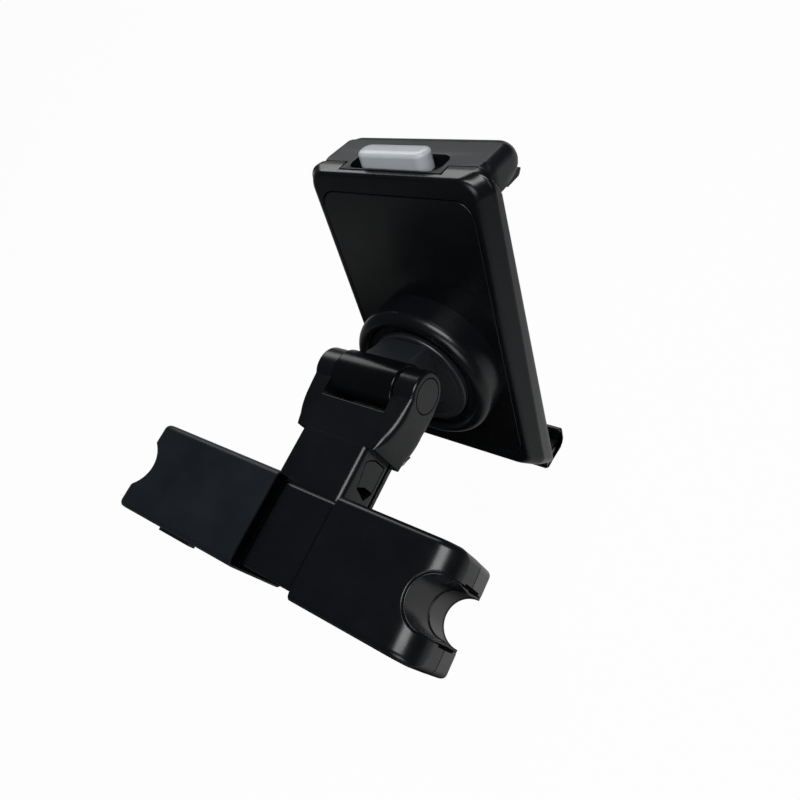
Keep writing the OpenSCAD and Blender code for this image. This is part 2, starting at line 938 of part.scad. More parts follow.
module side_button_spring() {
    color("#9a9da1")
        placed()
            translate([root_half - sb_inset - sb_depth - side_button_travel - 1.2, sb_mid_y - 5.5,
                sb_mid_z + 3.4])
                rotate([0, 90, 0])
                    coil(small_spring_turns, small_spring_radius, small_spring_wire, 0);
}

// Places what follows in the holder's frame: X across, Y away from the hinge, Z up the holder
module at_hinge() {
    placed()
        translate([0, hinge_y, hinge_z])
            rotate([-tilt, 0, 0])
                children();
}

// Turns a plan drawn across and up the holder into a solid between two reaches
module at_swivel(p) {
    translate([0, p, swivel_u])
        rotate([-90, 0, 0])
            children();
}

// Barrel, neck, swivel disc and spindle
module hinge_barrel() {
    color("#131315")
        at_hinge()
            difference() {
                union() {
                    translate([-barrel_half, 0, 0])
                        rotate([0, 90, 0])
                            cylinder(r = barrel_radius, h = 2 * barrel_half);
                    translate([-neck_half, 0, 0])
                        rotate([90, 0, 90])
                            linear_extrude(2 * neck_half)
                                polygon([[0, barrel_radius - 3], [disc_reach + 1, 3],
                                    [disc_reach + 1, -33], [15, -23.5], [0, -barrel_radius + 1]]);
                    at_swivel(disc_reach)
                        cylinder(r = disc_radius, h = disc_thick);
                    at_swivel(disc_reach + disc_thick - 1)
                        cylinder(r = spindle_radius,
                            h = shell_floor + slide_gap - disc_reach - disc_thick + 1);
                }
                translate([-60, 0, 0])
                    rotate([0, 90, 0])
                        cylinder(r = pin_radius + running_fit, h = 120);
                at_swivel(shell_floor - 12)
                    cylinder(r = screw_radius + running_fit + 1, h = 20, $fn = 32);
            }
}

module hinge_pin() {
    color("#a5a8ac")
        at_hinge()
            translate([-ear_half + cap_deep, 0, 0])
                rotate([0, 90, 0])
                    cylinder(r = pin_radius, h = 2 * (ear_half - cap_deep));
}

module hinge_caps() {
    color("#19191b")
        at_hinge()
            for (s = [0, 1])
                mirror([s, 0, 0])
                    translate([ear_half - cap_deep, 0, 0])
                        rotate([0, 90, 0])
                            cylinder(r = cap_radius, h = cap_deep - 0.3);
}

module hinge_washers() {
    color("#c4c6c8")
        at_hinge()
            for (s = [0, 1])
                mirror([s, 0, 0])
                    translate([barrel_half, 0, 0])
                        rotate([0, 90, 0])
                            difference() {
                                cylinder(r = ear_radius - 1, h = washer_thick);
                                translate([0, 0, -1])
                                    cylinder(r = pin_radius + slide_gap, h = 3);
                            }
}

// Profile of the dome, radius against reach
module dome_profile() {
    translate([dome_radius - dome_round, disc_reach + dome_round])
        circle(r = dome_round);
    translate([dome_radius - dome_wall, disc_reach + dome_round])
        square([dome_wall, back_reach + panel_thick - disc_reach - dome_round]);
    translate([spindle_radius + running_fit, dish_floor])
        square([dome_radius - dome_round - spindle_radius, dome_wall]);
    translate([spindle_radius + running_fit, dish_floor])
        square([5, back_reach + panel_thick - dish_floor]);
}

module dome_screw_places() {
    for (a = [45 : 90 : 315])
        rotate([0, 0, a])
            translate([dome_screw_r, 0, 0])
                children();
}

// Round housing that turns on the spindle and carries the holder
module dome() {
    color("#1b1b1d")
        at_hinge()
            translate([0, 0, swivel_u])
                rotate([-90, 0, 0])
                    difference() {
                        union() {
                            rotate_extrude()
                                dome_profile();
                            dome_screw_places()
                                translate([0, 0, dish_floor + 1])
                                    cylinder(r = 3.6, h = back_reach + panel_thick - dish_floor - 1);
                        }
                        dome_screw_places()
                            translate([0, 0, shell_floor])
                                screw_bore(dome_screw_long);
                    }
}

module dome_screws() {
    color("#8a8d91")
        at_hinge()
            translate([0, shell_floor, swivel_u])
                rotate([-90, 0, 0])
                    dome_screw_places()
                        screw(dome_screw_long);
}

module spindle_washer() {
    color("#b9bbbe")
        at_hinge()
            at_swivel(shell_floor + slide_gap)
                difference() {
                    cylinder(r = spindle_radius + 5, h = 1.5);
                    translate([0, 0, -1])
                        cylinder(r = screw_radius + 1 + slide_gap, h = 4, $fn = 32);
                }
}

module spindle_screw() {
    color("#8a8d91")
        at_hinge()
            at_swivel(shell_floor + slide_gap + 1.5)
                difference() {
                    union() {
                        translate([0, 0, -10])
                            cylinder(r = screw_radius + 1, h = 10, $fn = 32);
                        cylinder(r = screw_head + 2, h = head_high, $fn = 32);
                    }
                    for (a = [0, 90])
                        rotate([0, 0, a])
                            translate([-2.6, -0.4, head_high - 1])
                                cube([5.2, 0.8, 2]);
                }
}

// Four rounded corners of one level of the holder's body
module level(p, half, up, down, r) {
    for (x = [-1, 1])
        for (u = [up - r, -down + r])
            translate([x * (half - r), p, u])
                rotate([-90, 0, 0])
                    cylinder(r = r, h = tiny, $fn = 32);
}

// The holder's body, grown outwards by g
module body_form(g, p0) {
    hull() {
        level(p0, back_half + g, holder_up - 0.8 + g, back_down + g, corner_radius);
        level(mid_reach - g, holder_half + g, holder_up + g, back_down + 6.2 + g, corner_radius);
        level(front_reach + (g < 0 ? 1 : -tiny), holder_half - 0.3 + g, holder_up + g,
            front_down + g, corner_radius);
    }
}

// Flat plate with round corners lying across the holder
module flat_plate(p, thick, half, up, down, r) {
    translate([0, p, (up - down) / 2])
        rotate([-90, 0, 0])
            linear_extrude(thick)
                soft_rect(2 * half, up + down, r);
}

module holder_screw_places() {
    for (x = [-hs_x, hs_x])
        for (u = [hs_up, -hs_down])
            translate([x, front_reach - 1, u])
                rotate([-90, 0, 0])
                    children();
}

// Cutter over the seam between the rear shell and the upper slide
module seam_cut(g) {
    translate([-70, seam_reach - g, slide_low - g])
        cube([140, 40, 60]);
    translate([-tab_half - g, tab_reach - g, tab_low - g])
        cube([2 * (tab_half + g), 40, 60]);
}

// Rear shell of the holder
module back_shell() {
    color("#18181a")
        at_hinge()
            difference() {
                union() {
                    difference() {
                        body_form(0, back_reach);
                        body_form(-shell_wall, shell_floor);
                    }
                    for (x = [-hs_x, hs_x])
                        for (u = [hs_up, -hs_down])
                            translate([x, shell_floor - 1, u])
                                rotate([-90, 0, 0])
                                    cylinder(r = 3.8, h = front_reach - front_thick - shell_floor + 1);
                    for (x = [-spring_x, spring_x])
                        translate([x - 3, shell_floor - 1, slide_spring_low - spring_seat_high])
                            cube([6, rail_p + rail_thick - shell_floor + 1, spring_seat_high]);
                }
                flat_plate(back_reach - 1, panel_thick + 1, panel_half + slide_gap,
                    panel_up + slide_gap, panel_down + slide_gap, corner_radius);
                seam_cut(0);
                at_swivel(shell_floor - 20)
                    cylinder(r = spindle_radius + slide_gap, h = 30);
                at_swivel(shell_floor - 20)
                    dome_screw_places()
                        cylinder(r = screw_radius + slide_gap, h = 30, $fn = 32);
                holder_screw_places()
                    translate([0, 0, -12])
                        cylinder(r = screw_radius + running_fit, h = 20, $fn = 32);
            }
}

// Thin panel let into the holder's back
module back_panel() {
    color("#0f0f11")
        at_hinge()
            difference() {
                flat_plate(back_reach, panel_thick, panel_half, panel_up, panel_down,
                    corner_radius - slide_gap);
                at_swivel(back_reach - 2)
                    cylinder(r = dome_radius + slide_gap, h = 6);
            }
}

// Front plate with the lower hook
module front_plate() {
    color("#161618")
        at_hinge()
            difference() {
                union() {
                    flat_plate(front_reach - front_thick, front_thick, plate_half,
                        slide_low - slide_gap, plate_down, corner_radius);
                    // apron, floor and lip of the lower hook
                    translate([-hook_half, front_reach, -front_down - hook_floor])
                        cube([2 * hook_half, apron_thick, hook_floor + 14]);
                    translate([-hook_half + 4, front_reach - 1, -front_down + 9])
                        cube([2 * hook_half - 8, 2, 5]);
                    intersection() {
                        translate([-hook_half, 0, 0])
                            rotate([90, 0, 90])
                                linear_extrude(2 * hook_half)
                                    difference() {
                                        union() {
                                            translate([front_reach + tiny, -front_down - hook_floor])
                                                square([lip_outer - front_reach - 4, hook_floor]);
                                            translate([lip_outer - low_lip_thick,
                                                -front_down - hook_floor + 4])
                                                square([low_lip_thick, low_lip_up + hook_floor - 4]);
                                            translate([lip_outer - 4, -front_down - hook_floor + 4])
                                                circle(r = 4);
                                        }
                                        translate([lip_outer - 16, -front_down])
                                            square([16 - low_lip_thick, 12]);
                                    }
                        translate([0, front_reach - 1, -front_down - hook_floor + 10])
                            rotate([-90, 0, 0])
                                linear_extrude(40)
                                    soft_rect(2 * hook_half, 26, 6);
                    }
                }
                holder_screw_places() {
                    translate([0, 0, -4])
                        cylinder(r = screw_radius + slide_gap, h = 20, $fn = 32);
                    cylinder(r = screw_head + slide_gap, h = 10, $fn = 32);
                }
            }
}

module holder_screws() {
    color("#8a8d91")
        at_hinge()
            holder_screw_places()
                screw(8);
}

module lower_pad() {
    color("#0c0c0d")
        at_hinge()
            translate([-hook_half + 3, front_reach + apron_thick + 0.2, -front_down])
                cube([2 * hook_half - 6, lip_outer - low_lip_thick - front_reach - apron_thick - 1,
                    1.4]);
}

// Side profile of the upper hook, reach against height
module upper_hook_side() {
    difference() {
        union() {
            translate([seam_reach + slide_gap, slide_low])
                square([lip_mid - seam_reach - slide_gap, holder_up - slide_low]);
            translate([lip_mid, holder_up - lip_round])
                circle(r = lip_round);
            translate([lip_inner, holder_up - 2 * lip_round])
                square([lip_mid - lip_inner, 2 * lip_round]);
        }
        translate([lip_inner - 0.01, slide_low - 20])
            mirror([1, 0])
                square([tablet_room, 20]);
    }
}

// Upper hook with its roof, lip and the two rails that guide it
module upper_slide() {
    color("#1a1a1c")
        at_hinge()
            difference() {
                union() {
                    difference() {
                        translate([-hook_half, 0, 0])
                            rotate([90, 0, 90])
                                linear_extrude(2 * hook_half)
                                    upper_hook_side();
                        // bed of the pad
                        translate([-hook_half + 2.4, front_reach + slide_gap, slide_low - 1])
                            cube([2 * hook_half - 4.8, tablet_room - slide_gap, 11]);
                        // hollow behind the pad
                        translate([-hook_half + 2.4, seam_reach + 3, slide_low - 1])
                            cube([2 * hook_half - 4.8, front_reach - seam_reach - 5, 9]);
                    }
                    translate([-tab_half + slide_gap, tab_reach + slide_gap, tab_low + slide_gap])
                        cube([2 * (tab_half - slide_gap), seam_reach - tab_reach + 2,
                            holder_up - tab_low - slide_gap]);
                    for (s = [0, 1])
                        mirror([s, 0, 0])
                            translate([rail_x - rail_w / 2, seam_reach + slide_gap, rail_low])
                                cube([rail_w, runner_thick, slide_low - rail_low + 4]);
                    translate([-rail_x - rail_w / 2, rail_p, rail_low])
                        cube([2 * rail_x + rail_w, rail_thick, crossbar_high]);
                }
                // pocket of the button and the shaft of its rod
                flat_pocket();
                translate([-rod_half - slide_gap, rail_p - slide_gap, tab_low - 30])
                    cube([2 * (rod_half + slide_gap), rod_thick + 2 * slide_gap, 60]);
                for (x = [-button_spring_x, button_spring_x])
                    translate([x, tb_mid, tab_low - 2])
                        cylinder(r = button_spring_radius + 0.9, h = 12, $fn = 32);
            }
}

// Pill-shaped pocket of the top button
module flat_pocket() {
    translate([0, tb_mid, holder_up - pocket_floor])
        linear_extrude(20)
            soft_rect(2 * pocket_half, top_button_width + 1.2, top_button_width / 2);
}

module upper_pad() {
    color("#0c0c0d")
        at_hinge()
            translate([-hook_half + 2.6, front_reach + 0.5, slide_low + 0.6])
                cube([2 * hook_half - 5.2, tablet_room - 0.7, 9.4]);
}

module top_button() {
    color("#75787d")
        at_hinge()
            union() {
                translate([0, tb_mid, holder_up + top_button_proud - top_button_deep])
                    linear_extrude(top_button_deep)
                        soft_rect(2 * top_button_half, top_button_width, top_button_width / 2 - 0.1);
                translate([-rod_half, rail_p, rod_low + 3])
                    cube([2 * rod_half, rod_thick, holder_up + top_button_proud - 3 - rod_low - 3]);
                translate([0, rail_p + rod_thick, 0])
                    rotate([90, 0, 0])
                        linear_extrude(rod_thick)
                            polygon([[-rod_half, rod_low - 1], [-0.5, rod_low - 1],
                                [rod_half, rod_low + 2], [rod_half, rod_low + 4],
                                    [-rod_half, rod_low + 4]]);
            }
}

module top_button_spring() {
    color("#9a9da1")
        at_hinge()
            for (x = [-button_spring_x, button_spring_x])
                translate([x, tb_mid, holder_up - pocket_floor])
                    coil(small_spring_turns - 1, button_spring_radius, small_spring_wire, 0);
}

// Catch of the upper hook, drawn aside by the top button's rod
module slide_pawl() {
    color("#55585c")
        at_hinge()
            translate([0, rail_p + pawl_thick, 0])
                rotate([90, 0, 0])
                    linear_extrude(pawl_thick)
                        union() {
                            polygon([[hrack_x + hrack_w + 0.2, pawl_u + 1.7],
                                [hrack_x + hrack_w + 2, pawl_u], [6, pawl_u], [6, pawl_u + 3.4],
                                    [hrack_x + hrack_w + 2, pawl_u + 3.4]]);
                            polygon([[pawl_u + 3.4 + 6.92, pawl_u + 3.3], [6, pawl_u + 3.3],
                                [6, -4], [2.92, -4]]);
                        }
}

// Toothed strip on the front plate
module holder_rack() {
    color("#2a2b2d")
        at_hinge()
            difference() {
                translate([hrack_x, front_reach - front_thick - hrack_thick, hrack_low])
                    cube([hrack_w, hrack_thick, hrack_long]);
                for (i = [0 : hrack_teeth - 1])
                    translate([hrack_x + hrack_w, front_reach - front_thick + 1,
                        pawl_u + 1.7 + i * 3.6])
                        rotate([90, 0, 0])
                            linear_extrude(hrack_thick + 2)
                                polygon([[1, -1.5], [0, -1.5], [-1.5, 0], [0, 1.5], [1, 1.5]]);
            }
}

// Springs that draw the upper hook down
module slide_springs() {
    color("#9a9da1")
        at_hinge()
            for (x = [-spring_x, spring_x])
                translate([x, rail_p + rail_thick / 2, slide_spring_low])
                    coil(slide_turns, slide_spring_radius, slide_wire, slide_tail);
}

fixed_jaw_top();
fixed_jaw_base();
fixed_liner();
sliding_jaw_top();
sliding_jaw_base();
sliding_liner();
grip_lug();
jaw_rack();
jaw_pawl();
pawl_spring();
jaw_spring();
fixed_jaw_screws();
sliding_jaw_screws();
arm_cover();
arm_core();
arm_plate();
arm_screws();
side_button();
side_button_spring();
hinge_barrel();
hinge_pin();
hinge_caps();
hinge_washers();
dome();
dome_screws();
spindle_washer();
spindle_screw();
back_shell();
back_panel();
front_plate();
lower_pad();
holder_screws();
upper_slide();
upper_pad();
top_button();
top_button_spring();
slide_pawl();
holder_rack();
slide_springs();
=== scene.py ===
"""Headrest tablet mount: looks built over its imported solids.

Lengths are written in millimetres and turned to metres by ``place``. Two frames are used: the clamp's
(X across the posts, Y towards the tablet, Z up) and the holder's (X across, P away from the hinge, U up).
"""
import logging
import math
from dataclasses import dataclass, field
from enum import Enum
from typing import Sequence

import bmesh
import bpy
import numpy as np
from mathutils import Matrix, Vector
from mathutils.geometry import tessellate_polygon


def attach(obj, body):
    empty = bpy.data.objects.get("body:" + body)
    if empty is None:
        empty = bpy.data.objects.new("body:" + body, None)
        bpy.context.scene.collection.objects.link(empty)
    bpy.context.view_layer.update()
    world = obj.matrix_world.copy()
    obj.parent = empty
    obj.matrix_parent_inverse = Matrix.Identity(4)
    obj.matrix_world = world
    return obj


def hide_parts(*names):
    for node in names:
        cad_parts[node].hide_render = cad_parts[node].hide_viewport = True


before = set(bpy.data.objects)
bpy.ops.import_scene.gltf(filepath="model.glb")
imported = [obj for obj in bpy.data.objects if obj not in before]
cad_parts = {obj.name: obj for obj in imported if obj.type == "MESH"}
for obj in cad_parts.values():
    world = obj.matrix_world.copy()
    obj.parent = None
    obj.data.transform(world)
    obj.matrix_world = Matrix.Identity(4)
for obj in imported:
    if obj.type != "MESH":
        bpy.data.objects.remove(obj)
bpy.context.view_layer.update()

LOG = logging.getLogger("tablet_mount")
MM = 0.001
# what carries the clamp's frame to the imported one
SHIFT = np.array([-77.3, 0.0, 22.9])
# middle of the hinge pin, where the holder's frame starts, and how far that frame leans back
HINGE = np.array([0.0, 78.0, -16.3])
TILT = math.radians(18.9)
SIDE_AXIS = np.array([1.0, 0.0, 0.0])
REACH_AXIS = np.array([0.0, math.cos(TILT), -math.sin(TILT)])
UP_AXIS = np.array([0.0, math.sin(TILT), math.cos(TILT)])
# height of the swivel's axis in the holder's frame
SWIVEL_U = -20.7
MIRROR = np.array([-1, 1, 1])
# angles past which an edge stays sharp: on formed pieces, and on rounded copies of solids
FORMED_CREASE = math.radians(32.0)
COPIED_CREASE = math.radians(30.0)


class Space(Enum):
    """The frame in which a form's points are written."""

    CLAMP = "clamp"
    HOLDER = "holder"


class Turn(Enum):
    """Which coordinates an outline's two axes and its extrusion axis become, as column orders."""

    UPWARD = (0, 1, 2)
    ACROSS = (2, 0, 1)
    AWAY = (0, 2, 1)


def place(points: np.ndarray, space: Space) -> np.ndarray:
    """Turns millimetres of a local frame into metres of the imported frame.

    Holder points (x, p, u) go to hinge + x X + p REACH_AXIS + u UP_AXIS; both frames then get SHIFT.

    Args:
        points: array of shape (n, 3) in millimetres.
        space: the frame that the points are written in.

    Returns:
        Array of shape (n, 3) in metres.
    """
    if space is Space.HOLDER:
        x, p, u = points[:, :1], points[:, 1:2], points[:, 2:]
        points = HINGE + x * SIDE_AXIS + p * REACH_AXIS + u * UP_AXIS
    return (points + SHIFT) * MM


# Outlines and rows


@dataclass(frozen=True)
class Outline:
    """A closed flat curve, anticlockwise, with the outward mitre vector of each point."""

    points: np.ndarray
    mitres: np.ndarray

    @classmethod
    def through(cls, points: Sequence[Sequence[float]] | np.ndarray) -> "Outline":
        """Makes an outline from its points.

        The mitre is the sum of the two neighbouring edge normals divided by one plus their dot product:
        moving each point along it by d moves every edge by d.

        Args:
            points: n points of two coordinates, in either sense.

        Returns:
            The outline, turned anticlockwise.
        """
        points = np.asarray(points, float)
        x, y = points[:, 0], points[:, 1]
        if np.sum(x * np.roll(y, -1) - np.roll(x, -1) * y) < 0:
            points = points[::-1]
        edge = np.roll(points, -1, 0) - points
        edge /= np.maximum(np.linalg.norm(edge, axis=1, keepdims=True), 1e-9)
        after = np.stack((edge[:, 1], -edge[:, 0]), 1)
        before = np.roll(after, 1, 0)
        mitres = (before + after) / np.maximum(1 + np.sum(before * after, 1, keepdims=True), 0.3)
        return cls(points, mitres)

    @classmethod
    def rounded(cls, corners: Sequence[tuple[float, float, float]], steps: int = 7) -> "Outline":
        """Makes an outline from corners with fillet radii.

        Each fillet is the circle tangent to both edges: its points run from one tangent point to the other at
        even angles about its centre.

        Args:
            corners: (x, y, radius) of each corner, in order.
            steps: points on each fillet.

        Returns:
            The outline.
        """
        spots = np.array([c[:2] for c in corners], float)
        pieces = []
        for i, (_, _, radius) in enumerate(corners):
            here = spots[i]
            back = spots[i - 1] - here
            ahead = spots[(i + 1) % len(spots)] - here
            back /= np.linalg.norm(back)
            ahead /= np.linalg.norm(ahead)
            half = 0.5 * math.acos(float(np.clip(back @ ahead, -1, 1)))
            if radius <= 0 or half > 1.56:
                pieces.append(here[None])
                continue
            middle = (back + ahead) / np.linalg.norm(back + ahead)
            centre = here + middle * radius / math.sin(half)
            first = here + back * radius / math.tan(half) - centre
            last = here + ahead * radius / math.tan(half) - centre
            a0, a1 = math.atan2(first[1], first[0]), math.atan2(last[1], last[0])
            sweep = (a1 - a0 + math.pi) % (2 * math.pi) - math.pi
            angles = a0 + sweep * np.linspace(0, 1, steps)
            pieces.append(centre + radius * np.stack((np.cos(angles), np.sin(angles)), 1))
        return cls.through(np.concatenate(pieces))

    @classmethod
    def box(cls, left: float, right: float, low: float, high: float, radius: float = 0.0,
            steps: int = 7) -> "Outline":
        """Makes a rectangle with rounded corners.

        Args:
            left: least first coordinate.
            right: greatest first coordinate.
            low: least second coordinate.
            high: greatest second coordinate.
            radius: fillet radius of the corners.
            steps: points on each fillet.

        Returns:
            The outline.
        """
        corners = [(left, low, radius), (right, low, radius), (right, high, radius), (left, high, radius)]
        return cls.rounded(corners, steps)

    def inset(self, distance: np.ndarray | float) -> np.ndarray:
        """Returns the points moved inwards by a distance, one for all or one each."""
        amount = np.broadcast_to(np.asarray(distance, float), len(self.points))
        return self.points - self.mitres * amount[:, None]


def rim_levels(low: float, high: float, rim_low: float, rim_high: float, steps: int = 5) -> np.ndarray:
    """Heights and insets of a slab whose two rims are quarter circles.

    On a rim of radius r at angle t the inset is r (1 - sin t) and the height is r (1 - cos t) from the face.

    Args:
        low: height of the lower face.
        high: height of the upper face.
        rim_low: radius of the lower rim.
        rim_high: radius of the upper rim.
        steps: rows on each rim.

    Returns:
        Array of shape (2 steps, 2) with height and inset, from the lower face to the upper.
    """
    t = np.linspace(0, math.pi / 2, steps)
    lower = np.stack((low + rim_low * (1 - np.cos(t)), rim_low * (1 - np.sin(t))), 1)
    upper = np.stack((high - rim_high * (1 - np.cos(t)), rim_high * (1 - np.sin(t))), 1)[::-1]
    return np.concatenate((lower, upper))


def extrude(outline: Outline, levels: Sequence[Sequence[float]] | np.ndarray, turn: Turn) -> np.ndarray:
    """Carries an outline through levels of height and inset.

    Args:
        outline: the flat curve.
        levels: k pairs of height and inset.
        turn: where the outline's axes and the height go.

    Returns:
        Rows of shape (k, n, 3).
    """
    n = len(outline.points)
    rows = [np.column_stack((outline.inset(inset), np.full(n, height))) for height, inset in levels]
    return np.stack(rows)[..., list(turn.value)]


def lathe(profile: np.ndarray, centre: tuple[float, float], turn: Turn, segments: int = 128) -> np.ndarray:
    """Turns a profile about an axis: point (radius, height) at angle a goes to radius (cos a, sin a).

    Args:
        profile: array of shape (k, 2) with radius and height.
        centre: the axis's place in the plane across it.
        turn: where the plane's axes and the height go.
        segments: points round the axis.

    Returns:
        Rows of shape (k, segments, 3).
    """
    a = np.linspace(0, 2 * math.pi, segments, endpoint=False)
    radius, height = profile[:, :1], profile[:, 1:]
    flat = np.stack((centre[0] + radius * np.cos(a), centre[1] + radius * np.sin(a), height + 0 * a), 2)
    return flat[..., list(turn.value)]


def arc(cx: float, cy: float, radius: float, start: float, stop: float, count: int) -> np.ndarray:
    """Returns points on a circle from one angle to another, in degrees."""
    a = np.radians(np.linspace(start, stop, count))
    return np.stack((cx + radius * np.cos(a), cy + radius * np.sin(a)), 1)


# Finishes


def linear(code: str) -> tuple[float, float, float, float]:
    """Turns an sRGB hex code into a linear colour with full alpha.

    Args:
        code: the colour as #rrggbb.

    Returns:
        Red, green, blue and alpha.
    """
    parts = np.array([int(code[i:i + 2], 16) for i in (1, 3, 5)]) / 255
    value = np.where(parts <= 0.04045, parts / 12.92, ((parts + 0.055) / 1.055) ** 2.4)
    return (float(value[0]), float(value[1]), float(value[2]), 1.0)


def blank_material(name: str) -> bpy.types.Material:
    """Makes a material whose node tree is empty.

    Args:
        name: the material's name.

    Returns:
        The material.
    """
    mat = bpy.data.materials.new(name)
    mat.use_nodes = True
    mat.node_tree.nodes.clear()
    return mat


def add_node(tree: bpy.types.NodeTree, kind: str, settings: dict | None = None,
             links: dict | None = None) -> bpy.types.Node:
    """Adds a shader node with its settings and links.

    Args:
        tree: the node tree.
        kind: the node's Blender type.
        settings: attribute names, or input names and numbers, with their values.
        links: input names or numbers with the output socket that feeds each.

    Returns:
        The new node.
    """
    node = tree.nodes.new(kind)
    for key, value in (settings or {}).items():
        if isinstance(key, str) and hasattr(node, key):
            setattr(node, key, value)
        else:
            node.inputs[key].default_value = value
    for key, socket in (links or {}).items():
        tree.links.new(socket, node.inputs[key])
    return node


@dataclass(frozen=True)
class Moulded:
    """A moulded plastic or rubber: base colour, gloss, and the fine grain of its mould.

    Colour and roughness drift slowly over the surface as handling and mould polish leave them, raised edges
    are rubbed a little lighter, and a fine noise of the grain's real width gives the bump.

    Attributes:
        name: the material's name.
        slot: name of a slot for its pieces; not used.
        colour: base colour as an sRGB hex code.
        worn: colour where it is rubbed.
        roughness: mean roughness.
        spread: how far the roughness drifts either way.
        grain_mm: width of the grain.
        bump_mm: depth of the grain.
        sheen: level of the mirror-like share.
        patch_mm: width of the patches that drift.
        made: holds the material once it is built.
    """

    name: str
    slot: str
    colour: str
    worn: str
    roughness: float
    spread: float
    grain_mm: float
    bump_mm: float
    sheen: float = 0.34
    patch_mm: float = 22.0
    made: list = field(default_factory=list, compare=False, repr=False)

    def material(self) -> bpy.types.Material:
        """Builds the material once and returns it afterwards.

        Returns:
            The material.
        """
        if self.made:
            return self.made[0]
        mat = blank_material(self.name)
        tree = mat.node_tree
        spot = {"Vector": add_node(tree, "ShaderNodeTexCoord").outputs["Object"]}
        drift = add_node(tree, "ShaderNodeTexNoise",
                         {"Scale": 1 / (self.patch_mm * MM), "Detail": 5.0, "Roughness": 0.6}, spot)
        grain = add_node(tree, "ShaderNodeTexNoise",
                         {"Scale": 1 / (self.grain_mm * MM), "Detail": 3.0, "Roughness": 0.65}, spot)
        shape = add_node(tree, "ShaderNodeNewGeometry")
        edge = add_node(tree, "ShaderNodeMapRange",
                        {"From Min": 0.52, "From Max": 0.62, "To Min": 0.0, "To Max": 0.35},
                        {"Value": shape.outputs["Pointiness"]})
        patch = add_node(tree, "ShaderNodeMapRange",
                         {"From Min": 0.35, "From Max": 0.75, "To Min": 0.0, "To Max": 0.5},
                         {"Value": drift.outputs["Fac"]})
        wear = add_node(tree, "ShaderNodeMath", {"operation": "MAXIMUM"},
                        {0: edge.outputs[0], 1: patch.outputs[0]})
        tone = add_node(tree, "ShaderNodeMix",
                        {"data_type": "RGBA", 6: linear(self.colour), 7: linear(self.worn)},
                        {0: wear.outputs[0]})
        gloss = add_node(tree, "ShaderNodeMapRange",
                         {"From Min": 0.3, "From Max": 0.7,
                          "To Min": self.roughness - self.spread, "To Max": self.roughness + self.spread},
                         {"Value": drift.outputs["Fac"]})
        bump = add_node(tree, "ShaderNodeBump", {"Strength": 1.0, "Distance": self.bump_mm * MM},
                        {"Height": grain.outputs["Fac"]})
        shader = add_node(tree, "ShaderNodeBsdfPrincipled", {"IOR": 1.5, "Specular IOR Level": self.sheen},
                          {"Base Color": tone.outputs[2], "Roughness": gloss.outputs[0],
                           "Normal": bump.outputs[0]})
        add_node(tree, "ShaderNodeOutputMaterial", links={"Surface": shader.outputs[0]})
        self.made.append(mat)
        return mat


@dataclass(frozen=True)
class Metal:
    """A drawn or plated steel.

    Attributes:
        name: the material's name.
        slot: name of a slot for its pieces; not used.
        colour: tint as an sRGB hex code.
        roughness: mean roughness.
        mark_mm: width of the drawing marks.
        made: holds the material once it is built.
    """

    name: str
    slot: str
    colour: str
    roughness: float
    mark_mm: float
    made: list = field(default_factory=list, compare=False, repr=False)

    def material(self) -> bpy.types.Material:
        """Builds the material once and returns it afterwards.

        Returns:
            The material.
        """
        if self.made:
            return self.made[0]
        mat = blank_material(self.name)
        tree = mat.node_tree
        spot = {"Vector": add_node(tree, "ShaderNodeTexCoord").outputs["Object"]}
        marks = add_node(tree, "ShaderNodeTexNoise", {"Scale": 1 / (self.mark_mm * MM), "Detail": 4.0}, spot)
        gloss = add_node(tree, "ShaderNodeMapRange",
                         {"From Min": 0.3, "From Max": 0.7,
                          "To Min": self.roughness - 0.06, "To Max": self.roughness + 0.08},
                         {"Value": marks.outputs["Fac"]})
        bump = add_node(tree, "ShaderNodeBump", {"Strength": 1.0, "Distance": 0.01 * MM},
                        {"Height": marks.outputs["Fac"]})
        shader = add_node(tree, "ShaderNodeBsdfPrincipled",
                          {"Metallic": 1.0, "Base Color": linear(self.colour)},
                          {"Roughness": gloss.outputs[0], "Normal": bump.outputs[0]})
        add_node(tree, "ShaderNodeOutputMaterial", links={"Surface": shader.outputs[0]})
        self.made.append(mat)
        return mat


# satin ABS: soft even sheen with broad highlights
SATIN_ABS = Moulded("satin black ABS", "shell_plastic", "#090b0e", "#0f1216", 0.27, 0.04, 0.5, 0.005)
# finely spark-textured ABS: dull, slightly greyer, highlights spread wide
GRAINED_ABS = Moulded("spark textured black ABS", "grained_plastic", "#101419", "#171b20", 0.42, 0.05,
                      0.45, 0.02)
# satin ABS of the roof, a little coarser: the lamp spreads into an even dark grey
ROOF_ABS = Moulded("fine grain black ABS", "shell_plastic", "#0d1013", "#13161a", 0.34, 0.04, 0.5, 0.008,
                   sheen=0.3)
# polished mould face: deep black with a clear mirror-like reflection
POLISHED_ABS = Moulded("polished black ABS", "polished_plastic", "#07080a", "#0d0f12", 0.2, 0.04, 0.9, 0.002,
                       sheen=0.2)
# polished sheet of the panel: a broad mirror that fades from grey to black
PANEL_ABS = Moulded("polished black panel", "polished_plastic", "#090a0c", "#0e1013", 0.24, 0.04, 0.9, 0.002,
                    sheen=0.55)
# paint-like silver grey pill: pale, satin, slightly pearly
GREY_ABS = Moulded("silver grey satin ABS", "button_plastic", "#b0b4b8", "#b8bcc0", 0.24, 0.03, 0.3, 0.003)
# soft elastomer in the hooks: matt, no clear highlight
GRIP_RUBBER = Moulded("black grip elastomer", "grip_rubber", "#0d0e10", "#141617", 0.5, 0.08, 0.6, 0.015)
# satin turned face of the disc and the neck: rough, with a raised specular level that gives a soft grey
# sheen; its base colour, greyer than the other blacks, is partly the part's own tone and partly painted sheen
# for the overhead light on the neck's top
DISC_ABS = Moulded("brushed satin black ABS", "polished_plastic", "#1b1e22", "#23272b", 0.36, 0.05, 0.6,
                   0.008, sheen=0.7)
